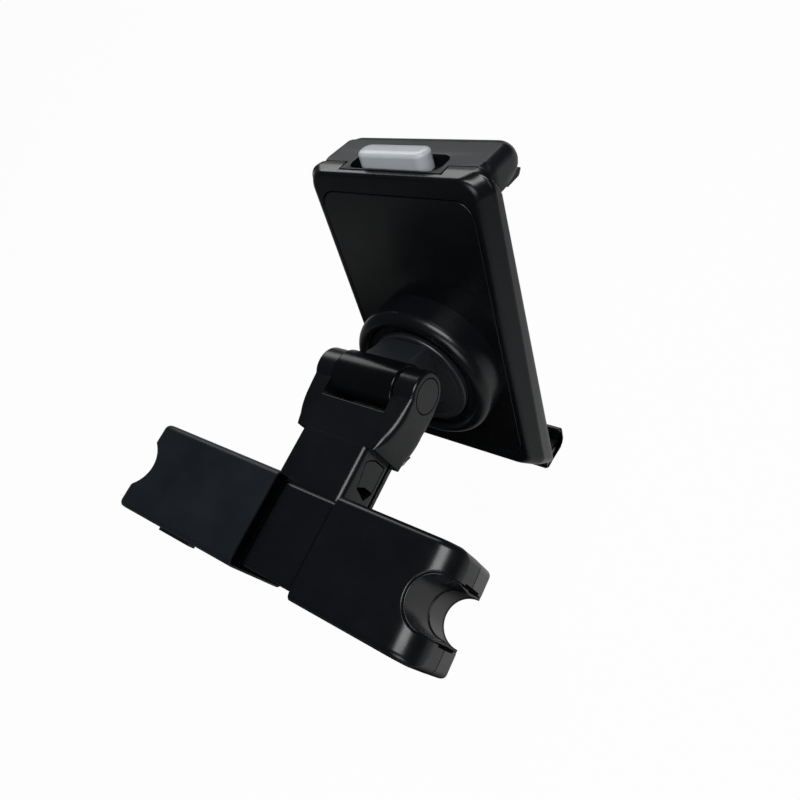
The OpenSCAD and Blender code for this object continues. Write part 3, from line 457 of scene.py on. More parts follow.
# painted shade: a matt black with almost no specular, put in slots, seams, grooves and the sleeve's mouth so
# that they read as deep gaps
GAP_SHADE_BLACK = Moulded("painted gap shade black", "grip_rubber", "#020202", "#030303", 0.9, 0.02, 0.6, 0.01,
                     sheen=0.02)
# dull inner mouldings
INNER_ABS = Moulded("dull dark grey ABS", "inner_plastic", "#26282a", "#303234", 0.5, 0.06, 0.5, 0.01)
# drawn spring wire and turned pins: grey, with soft streaks of gloss
DRAWN_STEEL = Metal("drawn spring steel", "spring_steel", "#b5b8bb", 0.32, 0.4)
# bright zinc on small screws: paler, a little duller
ZINC_STEEL = Metal("zinc plated steel", "screw_steel", "#a9adb0", 0.38, 0.3)

Finish = Moulded | Metal


# Forms


def add_object(name: str, data: bpy.types.ID) -> bpy.types.Object:
    """Makes an object of a mesh, light or camera and links it to the scene.

    Args:
        name: the object's name.
        data: what it shows.

    Returns:
        The object.
    """
    made = bpy.data.objects.new(name, data)
    bpy.context.scene.collection.objects.link(made)
    return made


def dress(piece: bpy.types.Object, finish: Finish, body: str, stands_for: Sequence[str]) -> bpy.types.Object:
    """Evens a piece's normals, gives it its finish and body, hides the nodes that it stands for, and reports
    it.

    Args:
        piece: the object.
        finish: its finish.
        body: the CAD body that it rides on.
        stands_for: CAD nodes that it replaces.

    Returns:
        The object.
    """
    even = piece.modifiers.new("even normals", "WEIGHTED_NORMAL")
    even.keep_sharp = True
    piece.data.materials.clear()
    piece.data.materials.append(finish.material())
    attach(piece, body)
    if stands_for:
        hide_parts(*stands_for)
    LOG.info("%s: %d faces, %s, on %s", piece.name, len(piece.data.polygons), finish.name, body)
    return piece


@dataclass
class Form:
    """Vertices and faces of one piece while it is put together."""

    vertices: list[np.ndarray] = field(default_factory=list)
    faces: list[list[int]] = field(default_factory=list)

    def add(self, points: np.ndarray, faces: np.ndarray, caps: Sequence[np.ndarray] = ()) -> None:
        """Appends points and faces, with their numbers moved past what is there.

        Args:
            points: array of shape (n, 3) in millimetres.
            faces: array of point numbers, one row for each face.
            caps: further faces of any length.
        """
        offset = sum(len(v) for v in self.vertices)
        self.vertices.append(points)
        self.faces += (faces + offset).tolist()
        self.faces += [(cap + offset).tolist() for cap in caps]

    def tube(self, rows: np.ndarray, closed: bool = True, cap_first: bool = True,
             cap_last: bool = True) -> "Form":
        """Adds a surface of rows, each joined to the next by quads.

        Quad (i, j) joins points j and j + 1 of rows i and i + 1. The volume's sign turns all outwards.

        Args:
            rows: array of shape (k, n, 3).
            closed: whether each row is a closed ring.
            cap_first: whether the first ring gets a face.
            cap_last: whether the last ring gets a face.

        Returns:
            The form itself.
        """
        k, n = rows.shape[:2]
        points = rows.reshape(-1, 3)
        j = np.arange(n if closed else n - 1)
        i = np.arange(k - 1)[:, None]
        ahead = (j + 1) % n
        quads = np.stack((i * n + j, i * n + ahead, (i + 1) * n + ahead, (i + 1) * n + j), 2).reshape(-1, 4)
        a, b, c, d = (points[quads[:, m]] - points.mean(0) for m in range(4))
        volume = np.sum(np.cross(a, b) * c) + np.sum(np.cross(a, c) * d)
        first, last = np.arange(n)[::-1], np.arange(n) + (k - 1) * n
        if volume < 0:
            quads, first, last = quads[:, ::-1], first[::-1], last[::-1]
        caps = ([first] if closed and cap_first else []) + ([last] if closed and cap_last else [])
        self.add(points, quads, caps)
        return self

    def build(self, name: str, space: Space, finish: Finish, body: str, stands_for: Sequence[str] = (),
              merge: bool = False) -> bpy.types.Object:
        """Turns the form into an object that rides on a body.

        Args:
            name: the piece's name.
            space: the frame of the form's points.
            finish: its finish.
            body: the CAD body that it rides on.
            stands_for: CAD nodes that it replaces.
            merge: whether doubled points are joined and faces turned outwards.

        Returns:
            The object.
        """
        mesh = bpy.data.meshes.new(name)
        points = place(np.concatenate(self.vertices), space)
        mesh.from_pydata(points.tolist(), [], self.faces)
        if merge:
            shell = bmesh.new()
            shell.from_mesh(mesh)
            bmesh.ops.remove_doubles(shell, verts=shell.verts, dist=2e-6)
            bmesh.ops.recalc_face_normals(shell, faces=shell.faces)
            shell.to_mesh(mesh)
            shell.free()
        mesh.shade_smooth()
        mesh.set_sharp_from_angle(angle=FORMED_CREASE)
        return dress(add_object(name, mesh), finish, body, stands_for)


def softened(node: str, finish: Finish, body: str, edge: float) -> bpy.types.Object:
    """Copies a solid of the frame, joins its triangles and rounds its edges, so that they catch light.

    Args:
        node: the CAD node that the copy stands for.
        finish: its finish.
        body: the body that it rides on.
        edge: width of the rounding in millimetres.

    Returns:
        The object.
    """
    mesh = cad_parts[node].data.copy()
    shell = bmesh.new()
    shell.from_mesh(mesh)
    bmesh.ops.remove_doubles(shell, verts=shell.verts, dist=1e-6)
    bmesh.ops.dissolve_limit(shell, angle_limit=math.radians(0.6), verts=shell.verts, edges=shell.edges)
    shell.to_mesh(mesh)
    shell.free()
    mesh.shade_smooth()
    mesh.set_sharp_from_angle(angle=COPIED_CREASE)
    piece = add_object(node + "_soft", mesh)
    rounding = piece.modifiers.new("edges", "BEVEL")
    rounding.width = edge * MM
    rounding.segments = 3
    rounding.limit_method = "ANGLE"
    rounding.angle_limit = COPIED_CREASE
    rounding.use_clamp_overlap = True
    return dress(piece, finish, body, [node])


# Clamp


@dataclass
class JawShell:
    """Skin of one clamp jaw, written for a jaw that points along +X.

    The plan ends in X(y): the notch's circle in the middle, the end face with round corners at the sides. The
    skin's height is the top less the sum of three quarter circles: the long edge, the nose and the rim.

    Attributes:
        start: X of the jaw's start.
        end: X of its end face.
        half: its half width.
        top: depth of its top below Z = 0.
        low: depth of its underside.
        notch: X of the notch's middle.
        nose: radius of the top's rounding at the end.
        edge: radius of the long edges.
        bore: radius of the notch.
        plan: radius of the end's corners in plan.
        rim: radius of the notch's rim.
        draft: how far the underside's end lies behind the end face.
        seam: height of the seam between the halves.
        gap: width of the seam.
    """

    start: float
    end: float
    half: float
    top: float
    low: float
    notch: float
    nose: float = 11.5
    edge: float = 3.0
    bore: float = 11.2
    plan: float = 4.0
    rim: float = 0.8
    draft: float = 2.0
    seam: float = -24.0
    gap: float = 0.5

    @staticmethod
    def _quarter(depth: np.ndarray, radius: float) -> np.ndarray:
        """Drop of a quarter circle of a radius at a depth past its start: r - sqrt(r^2 - depth^2)."""
        depth = np.clip(depth, 0, radius)
        return radius - np.sqrt(np.maximum(radius ** 2 - depth ** 2, 0))

    def _lean(self, x: np.ndarray) -> np.ndarray:
        """Draft at the underside: it grows from 0 at 12 before the end to its whole at the end."""
        return np.clip((x - self.end + 12) / 12, 0, 1) * self.draft

    def across(self) -> np.ndarray:
        """Places stations across the jaw, close together near the notch's mouth and over the rounded edges.

        Returns:
            Y of the stations, in rising order.
        """
        circle = self.bore * np.sin(np.linspace(0, math.pi / 2, 40))
        beside = self.bore + np.array([0.05, 0.12, 0.2, 0.32, 0.5, 0.75, 1.1, 1.7, 2.6, 3.8, 5.4])
        edge = self.half - self.edge + self.edge * np.sin(np.linspace(0, math.pi / 2, 9))
        side = np.concatenate((circle, beside, edge))
        return np.concatenate((-side[::-1], side[1:]))

    def reach(self, y: np.ndarray) -> np.ndarray:
        """Plan length at each station: the notch's circle, a steep cheek, then the end with round corners.

        Args:
            y: the stations.

        Returns:
            X of the plan's border at each.
        """
        y = np.abs(y)
        circle = self.notch - np.sqrt(np.maximum(self.bore ** 2 - y ** 2, 0))
        corner = self.end - self._quarter(y - (self.half - self.plan), self.plan)
        cheek = self.notch + (self.end - self.notch) * np.clip((y - self.bore) / 0.2, 0, 1)
        return np.where(y <= self.bore, circle, np.minimum(cheek, corner))

    def drop(self, x: np.ndarray, y: np.ndarray, nose: float) -> np.ndarray:
        """Sum of the three roundings at each point.

        Args:
            x: places along the jaw.
            y: places across it.
            nose: radius of the rounding at the end.

        Returns:
            How far the skin lies inside the flat face.
        """
        wall = np.where(x < self.notch, np.hypot(x - self.notch, y), np.abs(y)) - self.bore
        rim = np.where(wall < -0.01, 0, self._quarter(self.rim - np.maximum(wall, 0), self.rim))
        edge = self._quarter(np.abs(y) - (self.half - self.edge), self.edge)
        return edge + self._quarter(x - (self.end - nose), nose) + rim

    def skin(self, upper: bool) -> np.ndarray:
        """Grid of one half's outer face, from the end (first row) to the start (last row).

        Args:
            upper: whether it is the upper half.

        Returns:
            Points of shape (rows, stations, 3).
        """
        y = self.across()
        reach = self.reach(y)
        near = np.array([0, 0.04, 0.1, 0.18, 0.3, 0.45, 0.65, 0.85, 1.2, 1.8, 2.6, 3.6, 4.8, 6.2, 7.8, 9.6,
                         11.6, 14.0])
        far = np.linspace(0, 1, 5)[1:]
        rest = reach - near[-1] + (self.start - reach + near[-1]) * far[:, None]
        x = np.concatenate((reach - near[:, None], rest))
        spread = np.broadcast_to(y, x.shape)
        if upper:
            z = -self.top - self.drop(x, spread, self.nose)
            return np.stack((x, spread, z), 2)
        z = -self.low + self.drop(x, spread, self.edge)
        return np.stack((x - self._lean(x), spread, z), 2)

    def form(self, upper: bool, mirrored: bool) -> Form:
        """One half of the jaw: its skin and the walls from the skin's border to the seam, closed there.

        Args:
            upper: whether it is the upper half.
            mirrored: whether the jaw points along -X.

        Returns:
            The form, with doubled points along its borders.
        """
        skin = self.skin(upper)
        border = np.concatenate([skin[::-1, -1], skin[0, ::-1][1:], skin[1:, 0], skin[-1, 1:-1]])
        stop = self.seam if upper else self.seam - self.gap
        share = np.array([0.0, 0.3, 0.6, 0.85, 1.0])[:, None]
        z = border[:, 2] + (stop - border[:, 2]) * share
        x = np.broadcast_to(border[:, 0], z.shape).copy()
        if not upper:
            x = x + self._lean(border[:, 0]) * (z - border[:, 2]) / np.maximum(stop - border[:, 2], 1e-6)
        walls = np.stack((x, np.broadcast_to(border[:, 1], z.shape), z), 2)
        if mirrored:
            skin, walls = skin * MIRROR, walls * MIRROR
        return Form().tube(skin, closed=False).tube(walls, cap_first=False)


def ring_section(inner: np.ndarray, outer: np.ndarray, low: np.ndarray, high: np.ndarray,
                 rim: float) -> np.ndarray:
    """Cross-sections with a quarter circle at each of four corners, one section for each station.

    A corner's point at angle t lies rim (1 - cos t) and rim (1 - sin t) inside the two sides that meet there.
    Each quarter circle runs against the sense in which the corners follow one another, so the straight sides
    lie rim inside the given places and the quarter circles stand out from them as fine beads.

    Args:
        inner: inner place of each station, of shape (k,).
        outer: outer place of each station.
        low: lower height of each station.
        high: upper height of each station.
        rim: corner radius.

    Returns:
        Array of shape (k, 16, 2) with place and height.
    """
    t = np.linspace(math.pi / 2, 0, 4)
    near, far = rim * (1 - np.sin(t)), rim * (1 - np.cos(t))
    inner, outer, low, high = (np.asarray(v, float)[:, None] for v in (inner, outer, low, high))
    spots = np.concatenate((outer - near, outer - far, inner + near, inner + far), 1)
    height = np.concatenate((low + far, high - near, high - far, low + near), 1)
    return np.stack((spots, height), 2)


@dataclass
class Clamp:
    """Both jaws of the post clamp with the tongue that joins them.

    Attributes:
        fixed: skin of the jaw that carries the arm.
        sliding: skin of the sliding sleeve, written as if it pointed along +X.
        tongue_half: half width of the tongue.
        tongue_top: height of its top.
        tongue_low: height of its underside.
        tongue_end: X of its free end.
        slot_shade_top: how far below a jaw's top the painted shade in its end face's slots starts.
        slot_shade_bend: how far below it the shade turns with the draft.
        slot_shade_low: how far below it the shade ends.
        slot_shade_y: Y of the middle of one slot's shade.
        slot_shade_half: its half width.
        liner_inner: inner radius of the notch liners.
        liner_outer: their outer radius.
    """

    fixed: JawShell = field(default_factory=lambda: JawShell(20.5, 79.95, 22.6, 3.4, 42.4, 77.3))
    sliding: JawShell = field(default_factory=lambda: JawShell(11.5, 97.65, 22.2, 0.0, 39.0, 95.0))
    tongue_half: float = 19.7
    tongue_top: float = -6.0
    tongue_low: float = -36.5
    tongue_end: float = -75.3
    slot_shade_top: float = 14.2
    slot_shade_bend: float = 20.6
    slot_shade_low: float = 31.0
    slot_shade_y: float = 11.5
    slot_shade_half: float = 0.7
    liner_inner: float = 9.2
    liner_outer: float = 11.3

    def _tongue(self, form: Form, upper: bool) -> Form:
        """Adds the tongue's half above or below the seam, long edges rounded by 2, and the ramp on its top.

        Args:
            form: the jaw half that it is moulded with.
            upper: whether it is the upper half.

        Returns:
            The form.
        """
        high, low = (self.tongue_top, -23.85) if upper else (-24.15, self.tongue_low)
        r_high, r_low = (2.0, 0.0) if upper else (0.0, 2.0)
        h = self.tongue_half
        outline = Outline.rounded([(-h, low, r_low), (h, low, r_low), (h, high, r_high), (-h, high, r_high)])
        form.tube(extrude(outline, rim_levels(self.tongue_end, 21.0, 0.3, 0.0, 3), Turn.ACROSS))
        if upper:
            ramp = Outline.rounded([(17.4, -7.0, 0), (21.2, -7.0, 0), (21.2, -3.5, 0), (20.6, -3.5, 0.8),
                                    (17.4, -6.0, 0)])
            form.tube(extrude(ramp, rim_levels(-17.7, 17.7, 0.25, 0.25, 3), Turn.AWAY))
        return form

    def _slots(self, jaw: JawShell, sense: int) -> Form:
        """Painted shade of the deep slots beside the notch's mouth: upright black strips, flush with the end
        face and its draft.

        Args:
            jaw: the jaw that carries them.
            sense: 1 for a jaw that points along +X, -1 for -X.

        Returns:
            The form with both strips of painted slot shade.
        """
        z = -jaw.top - np.array([self.slot_shade_top, self.slot_shade_bend, self.slot_shade_low])
        lean = np.array([0, 0, (jaw.seam - z[2]) / (jaw.low + jaw.seam) * jaw.draft])
        face = np.column_stack((jaw.end + 0.04 - lean, z))
        side = np.concatenate((face, np.array([[jaw.end - 6, z[2]], [jaw.end - 6, z[0]]])))
        form = Form()
        for y in (-self.slot_shade_y, self.slot_shade_y):
            levels = [(y - self.slot_shade_half, 0.0), (y + self.slot_shade_half, 0.0)]
            form.tube(extrude(Outline.through(side), levels, Turn.AWAY) * np.array([sense, 1, 1]))
        return form

    def _liner(self, jaw: JawShell, upper: bool, sense: int) -> np.ndarray:
        """Half of a notch liner, whose rim follows the jaw's surface a little below it.

        Stations run round the half circle and then along two short straight lips. Each has a cross-section
        between the inner and the outer radius, whose inner side slants outwards away from the seam.

        Args:
            jaw: the jaw that it lines.
            upper: whether it is the upper half.
            sense: 1 for a notch that opens along +X, -1 for -X.

        Returns:
            Rows of the closed surface.
        """
        angle = np.radians(np.concatenate(([90, 90], np.linspace(90, 270, 49), [270, 270])))
        tip, slant = (2.0, 1.35) if upper else (0.1, 0.9)
        along = np.concatenate(([tip, 0.4 * tip], np.zeros(49), [0.4 * tip, tip]))
        x = jaw.notch + along
        middle = np.zeros(len(x))
        inner = np.where(along >= tip, self.liner_inner + 0.15, self.liner_inner)
        outer = np.full(len(x), self.liner_outer)
        far = (x[:, None] + np.cos(angle)[:, None] * np.stack((inner, outer), 1)).max(1)
        if upper:
            low = np.full(len(x), jaw.seam + 0.15)
            high = -jaw.top - 0.75 - jaw.drop(far, middle, jaw.nose)
        else:
            low = -jaw.low + 1.2 + jaw.drop(far, middle, jaw.edge)
            high = np.full(len(x), jaw.seam - 0.15)
        section = ring_section(inner, outer, low, high, 0.3)
        depth = np.abs(section[..., 1] - jaw.seam) / np.abs((high if upper else low) - jaw.seam)[:, None]
        inward = section[..., 0] < 0.5 * (inner + outer)[:, None]
        section[..., 0] += np.where(inward, slant * depth, 0)
        px = x[:, None] + section[..., 0] * np.cos(angle)[:, None]
        py = section[..., 0] * np.sin(angle)[:, None]
        return np.stack((px * sense, py, section[..., 1]), 2)

    def _seam_shade(self, jaw: JawShell, sense: int) -> Form:
        """Painted seam shade: a thin black core behind the seam, on the jaw's plan, 0.06 inside its skin, 0.2
        above to 0.7 below the seam, so that the gap reads dark.

        Args:
            jaw: the jaw that carries it.
            sense: 1 for a jaw that points along +X, -1 for -X.

        Returns:
            The form.
        """
        y = jaw.across()
        back = np.array([[jaw.start + 2, y[-1]], [jaw.start + 2, y[0]]])
        plan = Outline.through(np.concatenate((np.stack((jaw.reach(y), y), 1), back)))
        rows = extrude(plan, [(jaw.seam - 0.7, 0.06), (jaw.seam + 0.2, 0.06)], Turn.UPWARD)
        return Form().tube(rows * np.array([sense, 1, 1]))

    def _mouth(self) -> Form:
        """Painted shade in the sleeve's mouth: a black frame just behind its end, and a black band round the
        tongue, where the sleeve's roof shades it.

        Returns:
            The form.
        """
        half, wall = self.sliding.half - 0.9, self.tongue_half + 0.05
        outer = Outline.box(-half, half, -38.1, -0.9, 2, 5)
        inner = Outline.box(-wall, wall, -36.9, -5.6, 1.5, 5)
        rings = [(outer, -13.5), (outer, -11.42), (inner, -11.42), (inner, -13.5), (outer, -13.5)]
        rows = np.stack([np.column_stack((np.full(len(o.points), x), o.points)) for o, x in rings])
        form = Form().tube(rows, cap_first=False, cap_last=False)
        lap = self.tongue_half + 0.12
        tongue_shade = Outline.box(-lap, lap, self.tongue_low - 0.12, self.tongue_top + 0.12, 2, 5)
        levels = [(-13.4, 0.0), (-9.4, 0.0), (-9.3, 0.12)]
        return form.tube(extrude(tongue_shade, levels, Turn.ACROSS), cap_first=False, cap_last=False)

    def build(self) -> None:
        """Builds the four shell halves, the tongue, the liners, the painted shade in the slots, the seams and
        the sleeve's mouth, and the small lug.
        """
        for upper, word in ((True, "top"), (False, "base")):
            fixed = self._tongue(self.fixed.form(upper, False), upper)
            fixed.build(f"fixed_{word}", Space.CLAMP, SATIN_ABS, "clamp", [f"fixed_jaw_{word}"], merge=True)
            sliding = self.sliding.form(upper, True)
            sliding.build(f"sliding_{word}", Space.CLAMP, GRAINED_ABS, "sliding_jaw",
                          [f"sliding_jaw_{word}"], merge=True)
        for jaw, name, body, sense, finish in ((self.fixed, "fixed", "clamp", 1, SATIN_ABS),
                                               (self.sliding, "sliding", "sliding_jaw", -1, GRAINED_ABS)):
            form = Form().tube(self._liner(jaw, True, sense)).tube(self._liner(jaw, False, sense))
            form.build(f"{name}_notch_liner", Space.CLAMP, finish, body, [f"{name}_liner"])
            # painted shade: black strips in the end face's slots and a black core in the seam, where the
            # shade of the gaps falls
            self._slots(jaw, sense).build(f"{name}_tip_slot_shade", Space.CLAMP, GAP_SHADE_BLACK, body)
            self._seam_shade(jaw, sense).build(f"{name}_seam_shade", Space.CLAMP, GAP_SHADE_BLACK, body)
        # painted shade: the shade under the sleeve's roof, in its mouth
        self._mouth().build("sleeve_mouth_shade", Space.CLAMP, GAP_SHADE_BLACK, "sliding_jaw", merge=True)
        softened("grip_lug", GRAINED_ABS, "sliding_jaw", 0.5)


# Arm


@dataclass
class Arm:
    """The arm: root block with the side button's pocket, widening body and two hinge ears.

    Attributes:
        top: height of the flat top.
        low: height of the underside up to ``rise``.
        root: half width of the root block.
        shoulder: Y at which the body widens.
        rise: Y from which the underside climbs to the ears.
        slot: Y of the floor between the ears.
        inner: half width between the flanks.
        ear: radius of the ears.
        upper_edge: rim radius along the top of a flank.
        lower_edge: rim radius along its underside.
        bulge: radius of the flanks' curve in plan.
        bulge_x: how far beyond the middle its centre lies.
        bulge_y: Y of its centre, past which the flanks run straight.
        cap: radius of the hinge caps.
        cap_face: how far their faces lie from the middle.
        cap_edge: radius of their edge.
    """

    top: float = -7.3
    low: float = -31.7
    root: float = 18.8
    shoulder: float = 45.5
    rise: float = 54.0
    slot: float = 62.7
    inner: float = 18.0
    ear: float = 11.1
    upper_edge: float = 3.0
    lower_edge: float = 5.0
    bulge: float = 36.6
    bulge_x: float = 8.0
    bulge_y: float = 66.0
    cap: float = 8.1
    cap_face: float = 28.55
    cap_edge: float = 0.7

    def _underside(self, y: np.ndarray) -> np.ndarray:
        """Height of the underside: flat to the rise, then the line that touches the ear's circle.

        Args:
            y: places along the arm.

        Returns:
            The height at each.
        """
        gap = math.hypot(self.rise - HINGE[1], self.low - HINGE[2])
        angle = math.atan2(self.low - HINGE[2], self.rise - HINGE[1]) + math.acos(self.ear / gap)
        touch_y, touch_z = HINGE[1] + self.ear * math.cos(angle), HINGE[2] + self.ear * math.sin(angle)
        return self.low + np.maximum(y - self.rise, 0) * (touch_z - self.low) / (touch_y - self.rise)

    def _widths(self, y: np.ndarray) -> np.ndarray:
        """Half width at each place along the arm: the bulge's circle, then straight."""
        return np.sqrt(self.bulge ** 2 - np.minimum(y - self.bulge_y, 0.0) ** 2) - self.bulge_x

    def _side(self) -> Outline:
        """Side view of body and ear in Y and Z, with points close together along its straight runs.

        Returns:
            The outline.
        """
        circle_y = HINGE[1] - math.sqrt(self.ear ** 2 - (self.top - HINGE[2]) ** 2)
        climb = float(np.diff(self._underside(np.array([60.0, 70.0])))[0])
        start = math.degrees(math.atan2(climb, 10)) - 90
        stop = math.degrees(math.atan2(self.top - HINGE[2], circle_y - HINGE[1]))
        ring = arc(HINGE[1], HINGE[2], self.ear, start, stop, 60)
        near = np.linspace(self.shoulder, ring[0, 0], 18)[:-1]
        under = np.stack((near, self._underside(near)), 1)
        back = np.linspace(circle_y, self.shoulder, 20)[1:]
        over = np.stack((back, np.full(len(back), self.top)), 1)
        wall = np.stack((np.full(5, self.shoulder), np.linspace(self.top, self.low, 7)[1:-1]), 1)
        return Outline.through(np.concatenate((under, ring, over, wall)))

    def _flank(self, sense: int) -> np.ndarray:
        """Rows of one flank: body and ear in one.

        The side view is carried outwards over a rim of changing radius to the width at each point; its side
        face is then drawn together, at constant y, to the line through the hinge's height.

        Args:
            sense: 1 for the +X flank, -1 for the other.

        Returns:
            Rows of the closed surface.
        """
        outline = self._side()
        y, z = outline.points.T
        rims = np.where(z > HINGE[2], self.upper_edge, self.lower_edge)
        rims = rims + (1.5 - rims) * np.clip((y - 64) / 10, 0, 1)
        rims = 0.4 + (rims - 0.4) * np.clip((y - self.shoulder) / 5, 0, 1)
        rows = [np.column_stack((np.full(len(y), self.inner), outline.points))]
        for a in np.linspace(math.pi / 2, 0, 8):
            flat = outline.inset(rims * (1 - math.sin(a)))
            rows.append(np.column_stack((self._widths(flat[:, 0]) - rims * (1 - math.cos(a)), flat)))
        flat = outline.inset(rims)
        for share in np.linspace(0, 1, 7)[1:]:
            here = np.column_stack((flat[:, 0], flat[:, 1] + (HINGE[2] - flat[:, 1]) * share))
            rows.append(np.column_stack((self._widths(here[:, 0]), here)))
        return np.stack(rows) * np.array([sense, 1, 1])

    def _web(self) -> np.ndarray:
        """Rows of the body between the flanks, 0.02 inside them, up to the slot's floor.

        Returns:
            Rows of the closed surface, whose edges at the slot are slightly rounded.
        """
        y = np.array([self.shoulder, self.rise, self.slot])
        low, top = self._underside(y) + 0.02, self.top - 0.02
        corners = [(y[0], low[0], 0.0), (y[1], low[1], 0.0), (y[2], low[2], 0.35), (y[2], top, 0.45),
                   (y[0], top, 0.0)]
        levels = [(-self.inner - 0.5, 0.0), (self.inner + 0.5, 0.0)]
        return extrude(Outline.rounded(corners, 4), levels, Turn.ACROSS)

    @staticmethod
    def _seen(polygon: np.ndarray, middle: np.ndarray, bearing: np.ndarray) -> np.ndarray:
        """Points where rays from the middle at given bearings meet a polygon.

        A ray meets an edge at (corner - middle) x edge / (ray x edge); the nearest valid meeting is kept.

        Args:
            polygon: corners of shape (n, 2), in order about the middle.
            middle: the rays' start.
            bearing: the rays' angles.

        Returns:
            Points of shape (len(bearing), 2).
        """
        ways = np.stack((np.cos(bearing), np.sin(bearing)), 1)
        edge = np.roll(polygon, -1, 0) - polygon
        gap = polygon - middle
        cross = ways[:, :1] * edge[:, 1] - ways[:, 1:] * edge[:, 0]
        cross = np.where(np.abs(cross) < 1e-9, 1e-9, cross)
        reach = (gap[:, 0] * edge[:, 1] - gap[:, 1] * edge[:, 0]) / cross
        share = (gap[:, 0] * ways[:, 1:] - gap[:, 1] * ways[:, :1]) / cross
        hit = (reach > 0) & (share > -1e-4) & (share < 1 + 1e-4)
        return middle + ways * np.min(np.where(hit, reach, 1e9), 1)[:, None]

    def _root(self) -> Form:
        """Root block: a half for each side, rounded along its outer edges, with the button's pocket at +X.

        The block's and the pocket's outlines are met by the same rays, so that quads join them.

        Returns:
            The form with both halves.
        """
        rim, floor = 2.8, 12.0
        middle = np.array([36.0, -19.5])
        block = Outline.box(17.4, self.shoulder + 3.4, -29.7, self.top, 3.2, 9).points
        pocket = np.array([[29.0, -14.2], [34.6, -12.8], [40.2, -11.4], [42.3, -13.4], [44.0, -17.5],
                           [44.0, -26.2], [30.9, -26.2], [28.6, -24.4], [26.3, -22.6]])
        corners = pocket - middle
        bearing = np.concatenate((np.arctan2(corners[:, 1], corners[:, 0]), np.linspace(-3.14, 3.14, 160)))
        bearing = np.unique(np.round(bearing, 6))
        outline = Outline.through(self._seen(block, middle, bearing))
        levels = np.concatenate(([[0.0, 0.0]], rim_levels(0.0, self.root, 0.0, rim, 8)[8:]))
        rows = extrude(outline, levels, Turn.ACROSS)
        hole = self._seen(pocket, middle, bearing)
        depths = (self.root, self.root - 0.3, floor)
        floors = np.stack([np.column_stack((np.full(len(hole), depth), hole)) for depth in depths])
        return Form().tube(rows * MIRROR).tube(np.concatenate((rows, floors)))

    @staticmethod
    def _on_both_ears(profile: np.ndarray, capped: bool) -> Form:
        """Turns a profile about the hinge's axis on either side.

        Args:
            profile: radius and X of its points on the +X side.
            capped: whether the first and last rings get faces.

        Returns:
            The form with both copies.
        """
        form = Form()
        for sense in (1, -1):
            rows = lathe(profile * np.array([1, sense]), (HINGE[1], HINGE[2]), Turn.ACROSS, 72)
            form.tube(rows, cap_first=capped, cap_last=capped)
        return form

    def _button(self) -> Form:
        """Release button: its panel, which lies in the pocket, and the wedge behind it.

        Returns:
            The form.
        """
        panel = Outline.rounded([(31.2, -25.9, 0.3), (43.6, -25.9, 0.6), (43.6, -17.6, 0.3),
                                 (42.0, -13.7, 0.5), (40.1, -11.9, 0.4), (29.4, -14.5, 0.3),
                                 (31.2, -19.2, 0.4)], 4)
        wedge = Outline.rounded([(31, -26, 0), (40, -26, 0), (40, -21, 0), (36.4, -21, 0)], 3)
        form = Form().tube(extrude(panel, rim_levels(12.8, 18.75, 0.0, 0.35, 4), Turn.ACROSS))
        return form.tube(extrude(wedge, rim_levels(5.4, 13.0, 0.2, 0.2, 3), Turn.ACROSS))

    def build(self) -> None:
        """Builds the arm, its plate, the button, the hinge caps and, as painted shade, black rings in the
        grooves round them.
        """
        form = self._root().tube(self._web())
        form.tube(self._flank(1), cap_last=False).tube(self._flank(-1), cap_last=False)
        form.build("arm_body", Space.CLAMP, SATIN_ABS, "clamp", ["arm_cover", "arm_core"])
        softened("arm_plate", SATIN_ABS, "clamp", 0.8)
        self._button().build("side_release", Space.CLAMP, SATIN_ABS, "side_button", ["side_button"])
        r, face, edge = self.cap, self.cap_face, self.cap_edge
        crown = np.array([[4.0, face + 0.02], [0.3, face + 0.03]])
        rounding = arc(r - edge, face - edge, edge, 0, 90, 6)
        caps = self._on_both_ears(np.concatenate((np.array([[r, 25.6]]), rounding, crown)), True)
        caps.build("hinge_cap_discs", Space.CLAMP, SATIN_ABS, "clamp", ["hinge_caps"])
        # painted shade: black rings in the grooves round the hinge caps
        low, high = face - 0.55, face + 0.08
        ring = np.array([[r - 0.2, low], [r + 0.35, low], [r + 0.35, high], [r - 0.2, high], [r - 0.2, low]])
        groove_shade = self._on_both_ears(ring, False)
        groove_shade.build("cap_groove_shade", Space.CLAMP, GAP_SHADE_BLACK, "clamp", merge=True)


# Swivel


